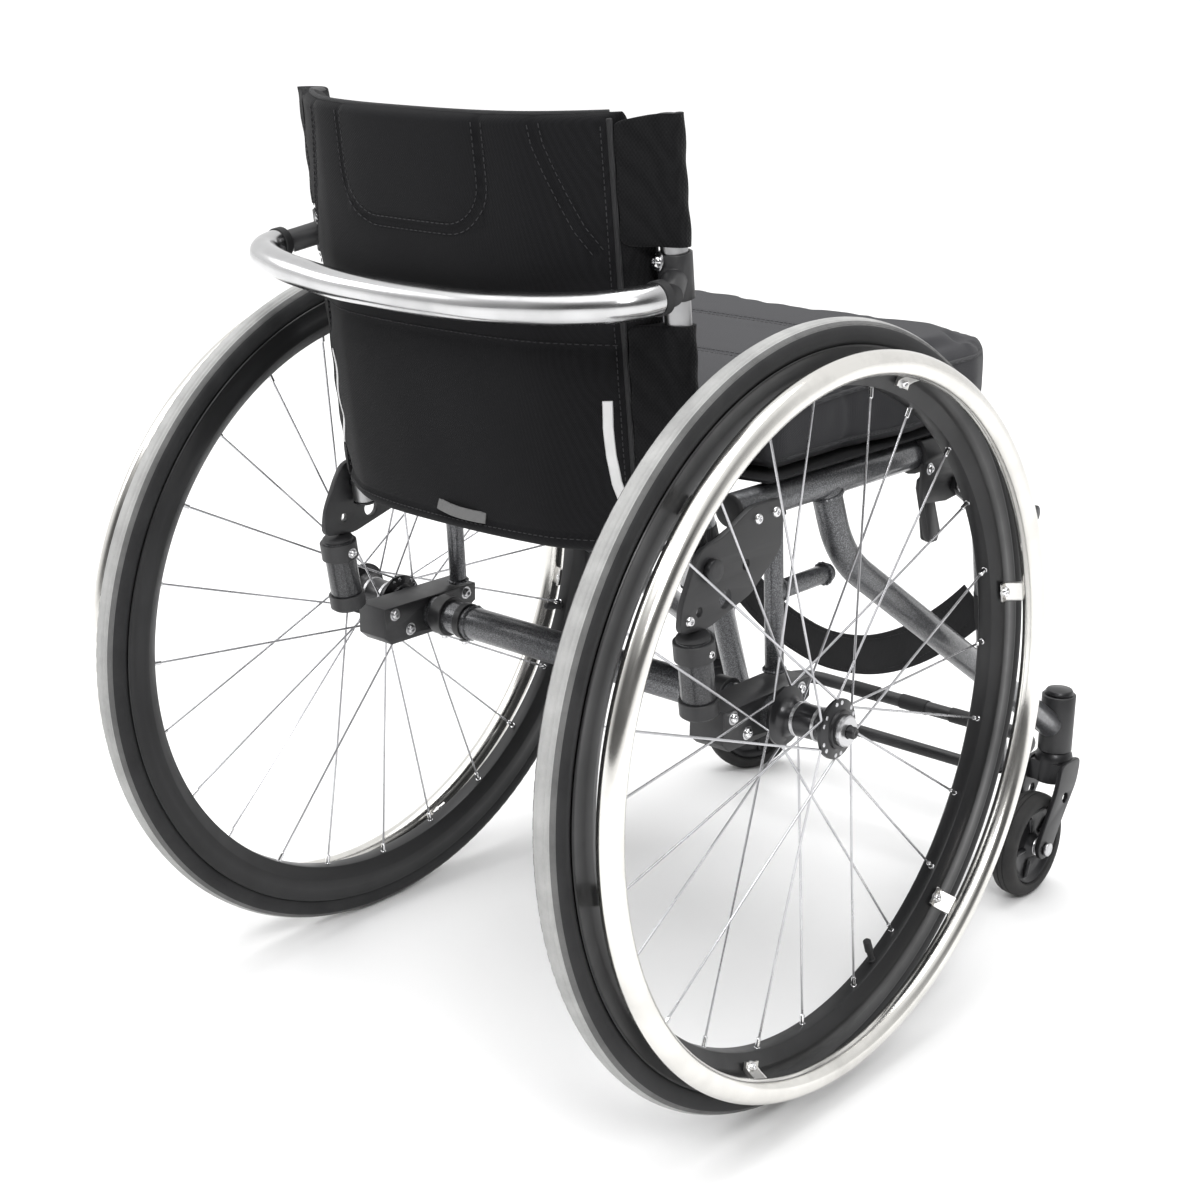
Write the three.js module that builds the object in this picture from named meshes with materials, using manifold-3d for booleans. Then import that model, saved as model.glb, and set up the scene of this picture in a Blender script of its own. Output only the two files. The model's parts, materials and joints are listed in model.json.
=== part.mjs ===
// Rigid-frame manual wheelchair, built as an assembly of separate pieces.
// Millimetres, +Z up. The chair faces -Y, so its right-hand side is -X.
// Inside the chair group, Y = 0 is the rear axle and Z = 0 the ground;
// the group is then moved along Y so that the origin is the middle of the footprint.

import * as THREE from 'three';
import { mergeVertices } from 'three/addons/utils/BufferGeometryUtils.js';
import Module from 'manifold-3d';

const wasm = await Module();
wasm.setup();

// ---------------------------------------------------------------- driving dimensions

const GAP = 0.3;                          // clearance between pieces that touch

const TYRE_R = 300;                       // 24 inch rear wheel
const TYRE_TUBE = 12;
const CAMBER = THREE.MathUtils.degToRad(1.65);
const HUB_X = 232;                        // hub centre from the middle plane
const HUB_Z = TYRE_R * Math.cos(CAMBER);
const WHEEL_SEGMENTS = 36;
const SPOKES = 24;
const SPOKE_R = 1.1;
const RIM_INNER_R = 251;
const SPOKE_TIP = RIM_INNER_R - 2;
const PUSHRIM_R = 271;                    // centreline of the hand rim
const PUSHRIM_TUBE = 9.5;
const PUSHRIM_OFFSET = 35;
const TAB_COUNT = 6;
const TAB_PHASE = THREE.MathUtils.degToRad(10);
const TAB_WIDTH = 16;
const PIN_R = 6.2;

const RAIL_X = 171.5;
const RAIL_Z = 457;
const RAIL_R = 12.5;
const RAIL_REAR = 28;
const RAIL_FRONT = -296;
const STRUT_R = 12;
const AXLE_R = 14;
const AXLE_Z = HUB_Z - 1.4;
const AXLE_HALF = 202;

const BRACKET_X = [184.3, 189.3];
const POST_X = 188;
const POST_R = 13;

const CANE_X = 173;
const CANE_R = 9.5;
const CANE_BOTTOM = 411;
const PIVOT = { y: 73, z: 425 };
const BACK_LEAN = 0.13;                   // rearward shift for each mm of height
const PAD_BOTTOM = 436;
const PAD_TOP = 745;                      // top of the side wings
const PAD_MIDDLE_TOP = 738;
const NOTCH = [604, 654];                 // heights between which the bar passes the pad

const STEM = { x: 200, y: -458 };
const CASTER_R = 50;
const CASTER_TRAIL = 40;
const SWIVEL = { left: THREE.MathUtils.degToRad(150), right: 0 };
const HOUSING = [134, 189];

const CUSHION_BOTTOM = 476;
const CUSHION_TOP = 530;
const CUSHION_RISE = 0.045;
const CUTOUT = { x: 146, y: -12 };        // rear corners of the cushion, cut out for the canes

const LEVER_PIVOT = { y: -225, z: 431 };
const SHOE_PIVOT = { y: -262, z: 427 };
const SHOE = { y: -302, z: 402, r: 8 };

const LEG_FOOT = { x: 152, y: -432, z: 112 };
const FOOTREST_R = 7;
const FOOTREST_FRONT = -533;

const REARMOST = TYRE_R;
const FOREMOST = FOOTREST_FRONT - FOOTREST_R * Math.cos(Math.PI / 10);
const SHIFT_Y = -(REARMOST + FOREMOST) / 2;

// ---------------------------------------------------------------- materials

const finish = (color, roughness, metalness) => (
  new THREE.MeshStandardMaterial({ color, roughness, metalness })
);
const framePaint = finish(0x3a3b3f, 0.4, 0.6);
const blackPaint = finish(0x141416, 0.45, 0.3);
const blackFabric = finish(0x1c1c1e, 0.95, 0);
const greyFabric = finish(0x48484b, 0.95, 0);
const greyRubber = finish(0xa8a8a4, 0.85, 0);
const blackRubber = finish(0x181818, 0.85, 0);
const blackAlloy = finish(0x1b1b1c, 0.4, 0.5);
const silver = finish(0xc9c7c0, 0.25, 1);
const steel = finish(0xa5a7aa, 0.35, 1);

// ---------------------------------------------------------------- geometry helpers

const v3 = (x, y, z) => new THREE.Vector3(x, y, z);

function toSolid(geometry) {
  const bare = new THREE.BufferGeometry();
  bare.setAttribute('position', geometry.getAttribute('position').clone());
  if (geometry.index) bare.setIndex(geometry.index.clone());
  const merged = mergeVertices(bare, 1e-4);
  return new wasm.Manifold(new wasm.Mesh({
    numProp: 3,
    vertProperties: new Float32Array(merged.getAttribute('position').array),
    triVerts: new Uint32Array(merged.index.array),
  }));
}

function toGeometry(solid) {
  const mesh = solid.getMesh();
  const geometry = new THREE.BufferGeometry();
  geometry.setAttribute('position', new THREE.BufferAttribute(mesh.vertProperties, 3));
  geometry.setIndex(new THREE.BufferAttribute(mesh.triVerts, 1));
  geometry.computeVertexNormals();
  return geometry;
}

function join(...geometries) {
  return toGeometry(geometries.map(toSolid).reduce((a, b) => a.add(b)));
}

function cut(geometry, ...cutters) {
  return toGeometry(cutters.map(toSolid).reduce((a, b) => a.subtract(b), toSolid(geometry)));
}

function common(a, b) {
  return toGeometry(toSolid(a).intersect(toSolid(b)));
}

// A lathe about Y from [axial, radius] points, whichever way round they are given.
function lathe(profile, segments) {
  const area = profile.reduce((sum, [a, r], i) => {
    const [nextA, nextR] = profile[(i + 1) % profile.length];
    return sum + a * nextR - nextA * r;
  }, 0);
  const points = profile.map(([axial, radius]) => new THREE.Vector2(radius, axial));
  return new THREE.LatheGeometry(area > 0 ? points.reverse() : points, segments);
}

// A ring or shaft about the X axis, and the same about the Z axis.
const turned = (profile, segments) => lathe(profile, segments).rotateZ(-Math.PI / 2);
const turnedUp = (profile, segments) => lathe(profile, segments).rotateX(Math.PI / 2);

function rod(from, to, radius, sides = 16) {
  const along = to.clone().sub(from);
  const turn = new THREE.Quaternion().setFromUnitVectors(v3(0, 1, 0), along.clone().normalize());
  const middle = from.clone().add(to).multiplyScalar(0.5);
  return new THREE.CylinderGeometry(radius, radius, along.length(), sides)
    .applyQuaternion(turn)
    .translate(middle.x, middle.y, middle.z);
}

function circle(radius, sides) {
  const points = [];
  for (let i = 0; i < sides; i += 1) {
    const a = (2 * Math.PI * i) / sides;
    points.push(new THREE.Vector2(radius * Math.cos(a), radius * Math.sin(a)));
  }
  return new THREE.Shape(points);
}

// A polyline whose corners are rounded by quadratic curves of the given reach.
function roundedPath(points, reach) {
  const path = new THREE.CurvePath();
  let start = points[0];
  for (let i = 1; i < points.length - 1; i += 1) {
    const corner = points[i];
    const before = corner.clone().add(
      points[i - 1].clone().sub(corner).setLength(reach),
    );
    const after = corner.clone().add(
      points[i + 1].clone().sub(corner).setLength(reach),
    );
    path.add(new THREE.LineCurve3(start, before));
    path.add(new THREE.QuadraticBezierCurve3(before, corner, after));
    start = after;
  }
  path.add(new THREE.LineCurve3(start, points[points.length - 1]));
  return path;
}

// A bent tube: straight runs get one step each and every rounded corner gets a few.
function bentTube(points, radius, reach, sides = 12, cornerSteps = 5) {
  const path = roundedPath(points, reach);
  const samples = [];
  path.curves.forEach((curve) => {
    const steps = curve.isLineCurve3 ? 1 : cornerSteps;
    for (let i = samples.length ? 1 : 0; i <= steps; i += 1) {
      samples.push(curve.getPoint(i / steps));
    }
  });
  const chain = new THREE.CatmullRomCurve3(samples);
  chain.getPoint = (t, target = new THREE.Vector3()) => {
    const u = t * (samples.length - 1);
    const i = Math.min(Math.floor(u), samples.length - 2);
    return target.lerpVectors(samples[i], samples[i + 1], u - i);
  };
  chain.getPointAt = chain.getPoint;
  return new THREE.ExtrudeGeometry(circle(radius, sides), {
    steps: samples.length - 1,
    extrudePath: chain,
    bevelEnabled: false,
  });
}

// A plate lying in the YZ plane between two x values, with optional round holes.
function plate(outline, x0, x1, holes = []) {
  const points = outline.map(([y, z]) => new THREE.Vector2(y, z));
  const clockwise = THREE.ShapeUtils.isClockWise(points);
  const shape = new THREE.Shape(points);
  holes.forEach(([y, z, r]) => {
    const hole = new THREE.Path();
    hole.absarc(y, z, r, 0, 2 * Math.PI, !clockwise);
    shape.holes.push(hole);
  });
  const low = Math.min(x0, x1);
  const basis = new THREE.Matrix4().makeBasis(v3(0, 1, 0), v3(0, 0, 1), v3(1, 0, 0));
  return new THREE.ExtrudeGeometry(shape, {
    depth: Math.abs(x1 - x0), bevelEnabled: false, curveSegments: 8,
  }).applyMatrix4(basis).translate(low, 0, 0);
}

function block(x0, x1, y0, y1, z0, z1) {
  return new THREE.BoxGeometry(Math.abs(x1 - x0), Math.abs(y1 - y0), Math.abs(z1 - z0))
    .translate((x0 + x1) / 2, (y0 + y1) / 2, (z0 + z1) / 2);
}

const chair = new THREE.Group();
chair.position.y = SHIFT_Y;

function add(name, geometry, material, parent = chair) {
  const mesh = new THREE.Mesh(geometry, material);
  mesh.name = name;
  parent.add(mesh);
  return mesh;
}

const SIDES = [['left', 1], ['right', -1]];

// ---------------------------------------------------------------- welded frame

const rodX = (y, z, x0, x1, r, sides = 12) => rod(v3(x0, y, z), v3(x1, y, z), r, sides);

function railPiece(s, grow = 0) {
  return rod(v3(s * RAIL_X, RAIL_FRONT, RAIL_Z), v3(s * RAIL_X, RAIL_REAR, RAIL_Z), RAIL_R + grow);
}

function legPiece(s, grow = 0) {
  return bentTube([
    v3(s * RAIL_X, RAIL_FRONT - GAP, RAIL_Z),
    v3(s * RAIL_X, -330, RAIL_Z),
    v3(s * LEG_FOOT.x, LEG_FOOT.y, LEG_FOOT.z),
  ], RAIL_R + grow, 30);
}

function strutPiece(s, grow = 0) {
  return bentTube([
    v3(s * RAIL_X, -92, RAIL_Z),
    v3(s * 175, -114, 392),
    v3(s * STEM.x, STEM.y, 153),
  ], STRUT_R + grow, 34);
}

function housingPiece(s, grow = 0) {
  return turnedUp([
    [HOUSING[0] - grow, 6.5 - grow], [HOUSING[0] - grow, 16 + grow],
    [HOUSING[1] + grow, 16 + grow], [HOUSING[1] + grow, 6.5 - grow],
    [HOUSING[0] - grow, 6.5 - grow],
  ], 20).translate(s * STEM.x, STEM.y, 0);
}

function frameSide(side, s) {
  add(`seat_rail_${side}`, railPiece(s), framePaint);
  const housingSpace = rod(v3(s * STEM.x, STEM.y, 100), v3(s * STEM.x, STEM.y, 200), 16 + GAP, 20);
  const strutSpace = strutPiece(s, GAP);
  add(`front_leg_${side}`, cut(legPiece(s), strutSpace), framePaint);
  add(`caster_strut_${side}`, cut(strutPiece(s), railPiece(s, GAP), housingSpace), framePaint);
  add(`caster_housing_${side}`, housingPiece(s), blackPaint);

  const upright = rod(v3(s * RAIL_X, -26, RAIL_Z), v3(s * RAIL_X, -36, 315.6), 7.5);
  const gusset = rod(v3(s * RAIL_X, -30, 381), v3(s * RAIL_X, -106, 381), 7.5);
  add(`upright_tube_${side}`, cut(join(upright, gusset), railPiece(s, GAP), strutSpace), framePaint);

  const post = rod(v3(s * POST_X, 89, 378), v3(s * POST_X, 74, 286), POST_R);
  add(`rear_post_${side}`, cut(post, axleCarrierSpace(s)), framePaint);

  const plateOutline = [
    [-14, 462], [24, 462], [60, 446], [84, 442], [92, 430], [104, 404], [106, 384], [74, 381],
    [22, 396], [-14, 424],
  ];
  add(`hinge_bracket_${side}`, plate(
    plateOutline, s * BRACKET_X[0], s * BRACKET_X[1], [[54, 399, 7], [PIVOT.y, PIVOT.z, 4.5]],
  ), blackPaint);
}

// ---------------------------------------------------------------- axle

const CARRIER_Y = [-50, 60];
const CARRIER_Z = [281, 314];

function axleCarrierSpace(s) {
  return block(s * 155, s * 205, CARRIER_Y[0] - GAP, CARRIER_Y[1] + GAP,
    CARRIER_Z[0] - 30, CARRIER_Z[1] + GAP);
}

function axleSide(side, s) {
  const outline = [
    [CARRIER_Y[0], CARRIER_Z[1]], [CARRIER_Y[0], 298], [-18, CARRIER_Z[0]],
    [52, CARRIER_Z[0]], [CARRIER_Y[1], 288], [CARRIER_Y[1], CARRIER_Z[1]],
  ];
  add(`axle_carrier_${side}`,
    plate(outline, s * 164, s * 196, [[0, AXLE_Z, AXLE_R + GAP]]), blackPaint);
}

const BORE_START = 160;
const BORE_R = 7.6;

add('axle_tube', turned([
  [-BORE_START, 0], [-BORE_START, BORE_R], [-AXLE_HALF, BORE_R], [-AXLE_HALF, AXLE_R],
  [AXLE_HALF, AXLE_R], [AXLE_HALF, BORE_R], [BORE_START, BORE_R], [BORE_START, 0],
], 20).translate(0, 0, AXLE_Z), framePaint);

// ---------------------------------------------------------------- rear wheels

function tyreGeometry() {
  const profile = [];
  const sides = 8;
  for (let i = 0; i <= sides; i += 1) {
    const a = (2 * Math.PI * (i % sides)) / sides;
    profile.push([TYRE_TUBE * Math.sin(a), TYRE_R - TYRE_TUBE + TYRE_TUBE * Math.cos(a)]);
  }
  return turned(profile, WHEEL_SEGMENTS);
}

function rimGeometry() {
  return turned([
    [-6, RIM_INNER_R], [-12.4, 262], [-12.4, 281.5], [-10.4, 281.3], [-6, 275.5], [6, 275.5],
    [10.4, 281.3], [12.4, 281.5], [12.4, 262], [6, RIM_INNER_R], [-6, RIM_INNER_R],
  ], WHEEL_SEGMENTS);
}

function hubGeometry() {
  const shell = turned([
    [-29, 6.6], [29, 6.6], [29, 15], [25, 23], [21, 23], [17, 14], [-17, 14], [-21, 23],
    [-25, 23], [-29, 15], [-29, 6.6],
  ], 16);
  const wires = [];
  for (let i = 0; i < SPOKES; i += 1) {
    const flange = i % 2 ? 1 : -1;
    const angle = (2 * Math.PI * i) / SPOKES;
    wires.push(rod(
      v3(flange * 22, 18 * Math.cos(angle), 18 * Math.sin(angle)),
      v3(flange * 2, SPOKE_TIP * Math.cos(angle), SPOKE_TIP * Math.sin(angle)),
      SPOKE_R, 3,
    ));
  }
  return join(shell, ...wires);
}

function pushrimGeometry() {
  const profile = [];
  const sides = 8;
  for (let i = 0; i <= sides; i += 1) {
    const a = (2 * Math.PI * (i % sides)) / sides;
    profile.push([
      PUSHRIM_OFFSET + PUSHRIM_TUBE * Math.sin(a), PUSHRIM_R + PUSHRIM_TUBE * Math.cos(a),
    ]);
  }
  const ring = turned(profile, WHEEL_SEGMENTS);
  const outline = [
    [9, 255.2], [12.9, 261.9], [30, 270], [31.5, 266.8], [14.5, 259], [11.6, 254],
  ];
  const tabs = [];
  for (let i = 0; i < TAB_COUNT; i += 1) {
    const shape = new THREE.Shape(outline.map(([a, r]) => new THREE.Vector2(a, r)));
    const tab = new THREE.ExtrudeGeometry(shape, { depth: TAB_WIDTH, bevelEnabled: false });
    // Shape x runs along the axle, shape y outwards, and the depth goes round the wheel.
    tab.translate(0, 0, -TAB_WIDTH / 2);
    tab.rotateX(TAB_PHASE + (2 * Math.PI * i) / TAB_COUNT);
    tabs.push(tab);
  }
  return join(ring, ...tabs);
}

const wheelRing = {
  tyre: [tyreGeometry(), greyRubber],
  rim: [rimGeometry(), blackAlloy],
  hub: [hubGeometry(), blackAlloy],
  pushrim: [pushrimGeometry(), silver],
};

const PIN_INNER = -66;
const PIN_OUTER = 34;
const pinGeometry = turned([
  [PIN_INNER, 0], [PIN_INNER, PIN_R], [29.6, PIN_R], [29.6, 12], [PIN_OUTER, 11], [PIN_OUTER, 5.3],
  [PIN_OUTER - 6, 5.3], [PIN_OUTER - 6, 0],
], 16);
const buttonGeometry = turned([
  [PIN_OUTER - 2, 0], [PIN_OUTER - 2, 4.8], [PIN_OUTER + 5, 4.8], [PIN_OUTER + 6, 4], [PIN_OUTER + 6, 0],
], 16);

function rearWheel(side, s) {
  const camber = new THREE.Group();
  camber.position.set(s * HUB_X, 0, HUB_Z);
  camber.rotation.y = -s * CAMBER;
  chair.add(camber);
  // In the inner group +X points away from the chair on both sides.
  const wheel = new THREE.Group();
  wheel.rotation.z = s > 0 ? 0 : Math.PI;
  camber.add(wheel);
  Object.entries(wheelRing).forEach(([name, [geometry, material]]) => {
    add(`${name}_${side}`, geometry, material, wheel);
  });
  add(`axle_pin_${side}`, pinGeometry, steel, wheel);
  add(`axle_button_${side}`, buttonGeometry, steel, wheel);
}

// ---------------------------------------------------------------- casters

const CROWN = [104, 133.6];

function forkGeometry() {
  const cheek = [
    [-16, CROWN[1] - 6], [-12, CROWN[0]], [18, 62], [32, 40], [48, 40], [54, 52], [48, 64],
    [24, 104], [18, CROWN[1] - 6],
  ];
  const crown = turnedUp([
    [CROWN[0], 0], [CROWN[0], 18], [CROWN[1], 16], [CROWN[1], 0],
  ], 16);
  const bridge = block(-20, 20, -14, 18, CROWN[0] + 1, CROWN[1] - 8);
  const cheeks = [-1, 1].map((k) => plate(cheek, k * 15.5, k * 20, [[CASTER_TRAIL, CASTER_R, 4.3]]));
  return join(crown, bridge, ...cheeks);
}

function casterTyreGeometry() {
  return turned([
    [-9, 37], [-12, 41], [-11, 46], [-6, 49.4], [0, CASTER_R], [6, 49.4], [11, 46], [12, 41],
    [9, 37], [-9, 37],
  ], 24);
}

function casterRimGeometry() {
  return turned([
    [-11, 4.4], [11, 4.4], [11, 10], [5, 14], [5, 30], [9, 36.6], [-9, 36.6], [-5, 30],
    [-5, 14], [-11, 10], [-11, 4.4],
  ], 16);
}

const casterPieces = {
  caster_fork: [forkGeometry(), blackAlloy],
  caster_stem: [turnedUp([
    [CROWN[1] + 0.2, 0], [CROWN[1] + 0.2, 6], [HOUSING[1] + 1, 6], [HOUSING[1] + 1, 14],
    [HOUSING[1] + 5, 12], [HOUSING[1] + 6, 0],
  ], 16), steel],
  caster_axle: [turned([
    [-24, 0], [-24, 6.5], [-20.4, 6.5], [-20.4, 4], [20.4, 4], [20.4, 6.5], [24, 6.5], [24, 0],
  ], 12).translate(0, CASTER_TRAIL, CASTER_R), steel],
  caster_tyre: [casterTyreGeometry().translate(0, CASTER_TRAIL, CASTER_R), blackRubber],
  caster_rim: [casterRimGeometry().translate(0, CASTER_TRAIL, CASTER_R), blackAlloy],
};

function caster(side, s) {
  const swivel = new THREE.Group();
  swivel.position.set(s * STEM.x, STEM.y, 0);
  swivel.rotation.z = SWIVEL[side];
  chair.add(swivel);
  Object.entries(casterPieces).forEach(([name, [geometry, material]]) => {
    add(`${name}_${side}`, geometry, material, swivel);
  });
}

// ---------------------------------------------------------------- backrest

const backFront = (z) => 80 + (z - 428) * BACK_LEAN;
const caneY = (z) => backFront(z) - 7;

function canePiece(s, grow = 0) {
  const low = CANE_BOTTOM;
  const high = PAD_TOP - 5;
  return rod(v3(s * CANE_X, caneY(low), low), v3(s * CANE_X, caneY(high), high), CANE_R + grow);
}

// The pad is a shallow U in plan, from cane to cane, leaning back with height.
function padGeometry() {
  const outer = [
    [179, 3], [170, 9], [155, 23], [140, 34], [120, 47], [95, 59], [50, 67], [0, 69],
  ];
  const inner = [
    [0, 49], [50, 47.5], [90, 41], [112, 30], [130, 17], [146, 3], [157, -6], [162, -10],
  ];
  const outline = [
    ...outer,
    ...outer.slice(0, -1).reverse().map(([x, y]) => [-x, y]),
    ...inner.slice(1).reverse().map(([x, y]) => [-x, y]),
    ...inner,
  ];
  const shape = new THREE.Shape(outline.map(([x, y]) => new THREE.Vector2(x, y)));
  const pad = new THREE.ExtrudeGeometry(shape, { depth: PAD_TOP - PAD_BOTTOM, bevelEnabled: false });
  pad.translate(0, 0, PAD_BOTTOM);
  const place = pad.getAttribute('position');
  for (let i = 0; i < place.count; i += 1) {
    place.setY(i, place.getY(i) + backFront(place.getZ(i)));
  }
  const notches = [1, -1].map((s) => block(s * 150, s * 215, 40, 230, NOTCH[0], NOTCH[1]));
  const dip = block(-150, 150, 40, 230, PAD_MIDDLE_TOP, PAD_TOP + 10);
  return cut(pad, ...notches, dip, canePiece(1, GAP), canePiece(-1, GAP));
}

const BAR_R = 11;
const BAR_END = { x: 190, y: 134, z: 627 };
const CLAMP_Z = 636;
const ARM_GAP = 7;                        // room between the slanted arm and the end of the bar

function barGeometry() {
  const bar = [
    [BAR_END.x, BAR_END.y, BAR_END.z], [188, 163, 624], [140, 180, 618], [70, 189, 613], [0, 191, 612],
  ];
  const points = [
    ...bar.map(([x, y, z]) => v3(x, y, z)),
    ...bar.slice(0, -1).reverse().map(([x, y, z]) => v3(-x, y, z)),
  ];
  return bentTube(points, BAR_R, 24, 12, 4);
}

function barClampGeometry(s) {
  const sleeve = rod(
    v3(s * CANE_X, caneY(CLAMP_Z - 16), CLAMP_Z - 16),
    v3(s * CANE_X, caneY(CLAMP_Z + 16), CLAMP_Z + 16), CANE_R + 3,
  );
  const arm = rod(
    v3(s * CANE_X, caneY(CLAMP_Z), CLAMP_Z),
    v3(s * BAR_END.x, BAR_END.y - ARM_GAP, BAR_END.z), 9,
  );
  return cut(join(sleeve, arm), canePiece(s, GAP));
}

function backrest() {
  SIDES.forEach(([side, s]) => {
    const hole = rodX(PIVOT.y, PIVOT.z, s * 160, s * 186, 4.5);
    add(`back_cane_${side}`, cut(canePiece(s), hole), framePaint);
    add(`bar_clamp_${side}`, barClampGeometry(s), blackPaint);
    const pin = join(
      rodX(PIVOT.y, PIVOT.z, s * 160, s * 195, 4.1),
      rodX(PIVOT.y, PIVOT.z, s * 160, s * 163.1, 7.5),
      rodX(PIVOT.y, PIVOT.z, s * 189.6, s * 195, 9),
    );
    add(`hinge_pin_${side}`, pin, steel);
  });
  add('back_pad', padGeometry(), blackFabric);
  add('push_bar', barGeometry(), silver);
}

// ---------------------------------------------------------------- seat

function cushionGeometry() {
  const top = (y) => CUSHION_TOP - y * CUSHION_RISE;
  const side = plate([
    [-330, 484], [-322, CUSHION_BOTTOM], [16, CUSHION_BOTTOM], [26, 484], [30, 500], [22, 516],
    [4, top(4)], [-318, top(-318)], [-332, 536], [-336, 515],
  ], -200, 200);
  const half = [
    [CUTOUT.x, 45], [CUTOUT.x, CUTOUT.y], [182, CUTOUT.y - 10], [182, -120], [190, -200],
    [190, -290], [178, -322], [150, -336],
  ];
  const outline = [...half, ...half.slice().reverse().map(([x, y]) => [-x, y])];
  const shape = new THREE.Shape(outline.map(([x, y]) => new THREE.Vector2(x, y)));
  const plan = new THREE.ExtrudeGeometry(shape, { depth: 120, bevelEnabled: false });
  plan.translate(0, 0, 450);
  return common(side, plan);
}

function seat() {
  const slingCorners = [1, -1].map((s) => block(s * 150, s * 190, 4, 70, 460, 480));
  add('seat_sling', cut(
    block(-183, 183, -300, 46, RAIL_Z + RAIL_R + 0.4, CUSHION_BOTTOM - 0.6), ...slingCorners,
  ), blackFabric);
  add('seat_cushion', cushionGeometry(), greyFabric);
  const half = RAIL_X - RAIL_R - GAP;
  add('cross_tube', rodX(-268, RAIL_Z, -half, half, 10), framePaint);
}

// ---------------------------------------------------------------- footrest and strap

function footrestGeometry() {
  const { x, y } = LEG_FOOT;
  const z = LEG_FOOT.z - RAIL_R + FOOTREST_R;
  const loop = bentTube([
    v3(x - 2, y - RAIL_R - 0.9, z), v3(x - 8, FOOTREST_FRONT, z),
    v3(-x + 8, FOOTREST_FRONT, z), v3(-x + 2, y - RAIL_R - 0.9, z),
  ], FOOTREST_R, 34, 10, 5);
  return loop;
}

function footrest() {
  const z = LEG_FOOT.z - 6;
  const half = LEG_FOOT.x - RAIL_R - 0.8;
  add('footrest_loop', footrestGeometry(), blackPaint);
  add('footrest_tube', rodX(LEG_FOOT.y, z, -half, half, 6), blackPaint);

  const ends = { x: 150, y: -377, z: 288 };
  const sag = 84;
  const points = [];
  for (let i = -4; i <= 4; i += 1) {
    const u = i / 4;
    points.push(v3(ends.x * u, ends.y - 4 * (1 - u * u), ends.z - sag * (1 - u * u)));
  }
  const section = new THREE.Shape([
    new THREE.Vector2(-2.5, -19), new THREE.Vector2(2.5, -19),
    new THREE.Vector2(2.5, 19), new THREE.Vector2(-2.5, 19),
  ]);
  const strap = new THREE.ExtrudeGeometry(section, {
    steps: 16, extrudePath: new THREE.CatmullRomCurve3(points), bevelEnabled: false,
  });
  add('calf_strap', cut(strap, legPiece(1, 1), legPiece(-1, 1)), blackFabric);
}

// ---------------------------------------------------------------- wheel locks

function wheelLock(side, s) {
  const { y: ly, z: lz } = LEVER_PIVOT;
  const { y: ay, z: az } = SHOE_PIVOT;
  const cheek = plate([
    [-274, 436], [-270, 416], [-250, 414], [-214, 418], [-212, 436], [-212, 452], [-274, 452],
  ], s * 183.5, s * 187);
  const collar = rod(v3(s * RAIL_X, -272, RAIL_Z), v3(s * RAIL_X, -214, RAIL_Z), RAIL_R + 4);
  const bosses = [
    rodX(ly, lz, s * 176, s * 185, 4), rodX(ay, az, s * 185, s * 194, 4),
  ];
  const crossSpace = rodX(-268, RAIL_Z, -s * 10, s * 175, 10 + GAP);
  const slingSpace = block(s * 100, s * 210, -280, -200, RAIL_Z + RAIL_R + 0.1, 490);
  add(`lock_clamp_${side}`, cut(
    join(cheek, collar, ...bosses), railPiece(s, GAP), crossSpace, slingSpace,
  ), blackPaint);

  add(`lock_lever_${side}`, plate([
    [ly + 8, lz - 2], [ly + 7, lz + 5], [ly, lz + 8], [ly - 7, lz + 5], [ly - 10, lz - 6],
    [ly - 26, lz - 44], [ly - 22, lz - 52], [ly - 12, lz - 52], [ly - 8, lz - 46],
  ], s * 177, s * 183.2, [[ly, lz, 4.3]]), blackPaint);

  const arm = plate([
    [ay + 7, az - 3], [ay + 5, az + 6], [ay - 3, az + 7], [SHOE.y - 5, SHOE.z + 7],
    [SHOE.y - 8, SHOE.z], [SHOE.y - 2, SHOE.z - 7], [SHOE.y + 6, SHOE.z - 5], [ay + 2, az - 8],
  ], s * 187.3, s * 192, [[ay, az, 4.3]]);
  const shoe = rodX(SHOE.y, SHOE.z, s * 189, s * 243, SHOE.r);
  add(`lock_shoe_${side}`, join(arm, shoe), steel);
}

// ---------------------------------------------------------------- assembly

SIDES.forEach(([side, s]) => {
  frameSide(side, s);
  axleSide(side, s);
  rearWheel(side, s);
  caster(side, s);
  wheelLock(side, s);
});
backrest();
seat();
footrest();

export default chair;
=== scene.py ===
"""Looks of the rigid-frame manual wheelchair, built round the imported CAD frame.

Chair coordinates are millimetres: X to the chair's left, -Y forwards, Z up, with Y = 0 at the
rear axle. at() turns them into the row frame in metres.
"""

import json
import math

import bmesh
import bpy
import numpy as np
from mathutils import Matrix, Vector
from mathutils.bvhtree import BVHTree


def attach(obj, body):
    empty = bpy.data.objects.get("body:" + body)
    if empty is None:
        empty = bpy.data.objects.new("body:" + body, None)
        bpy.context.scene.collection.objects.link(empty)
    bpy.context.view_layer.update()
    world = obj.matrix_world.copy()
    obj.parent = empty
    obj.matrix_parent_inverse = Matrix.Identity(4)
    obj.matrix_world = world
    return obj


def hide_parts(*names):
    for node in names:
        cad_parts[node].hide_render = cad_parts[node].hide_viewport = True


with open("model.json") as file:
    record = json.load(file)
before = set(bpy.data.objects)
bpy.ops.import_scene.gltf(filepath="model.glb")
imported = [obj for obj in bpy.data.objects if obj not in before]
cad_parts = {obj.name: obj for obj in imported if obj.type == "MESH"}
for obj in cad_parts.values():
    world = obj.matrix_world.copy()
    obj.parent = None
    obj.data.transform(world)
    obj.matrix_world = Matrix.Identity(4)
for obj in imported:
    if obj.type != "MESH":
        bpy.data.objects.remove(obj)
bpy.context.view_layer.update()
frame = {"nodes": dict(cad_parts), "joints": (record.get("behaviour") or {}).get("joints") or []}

MM = 0.001
JOINTS = {joint["name"]: joint for joint in frame["joints"]}
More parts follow.
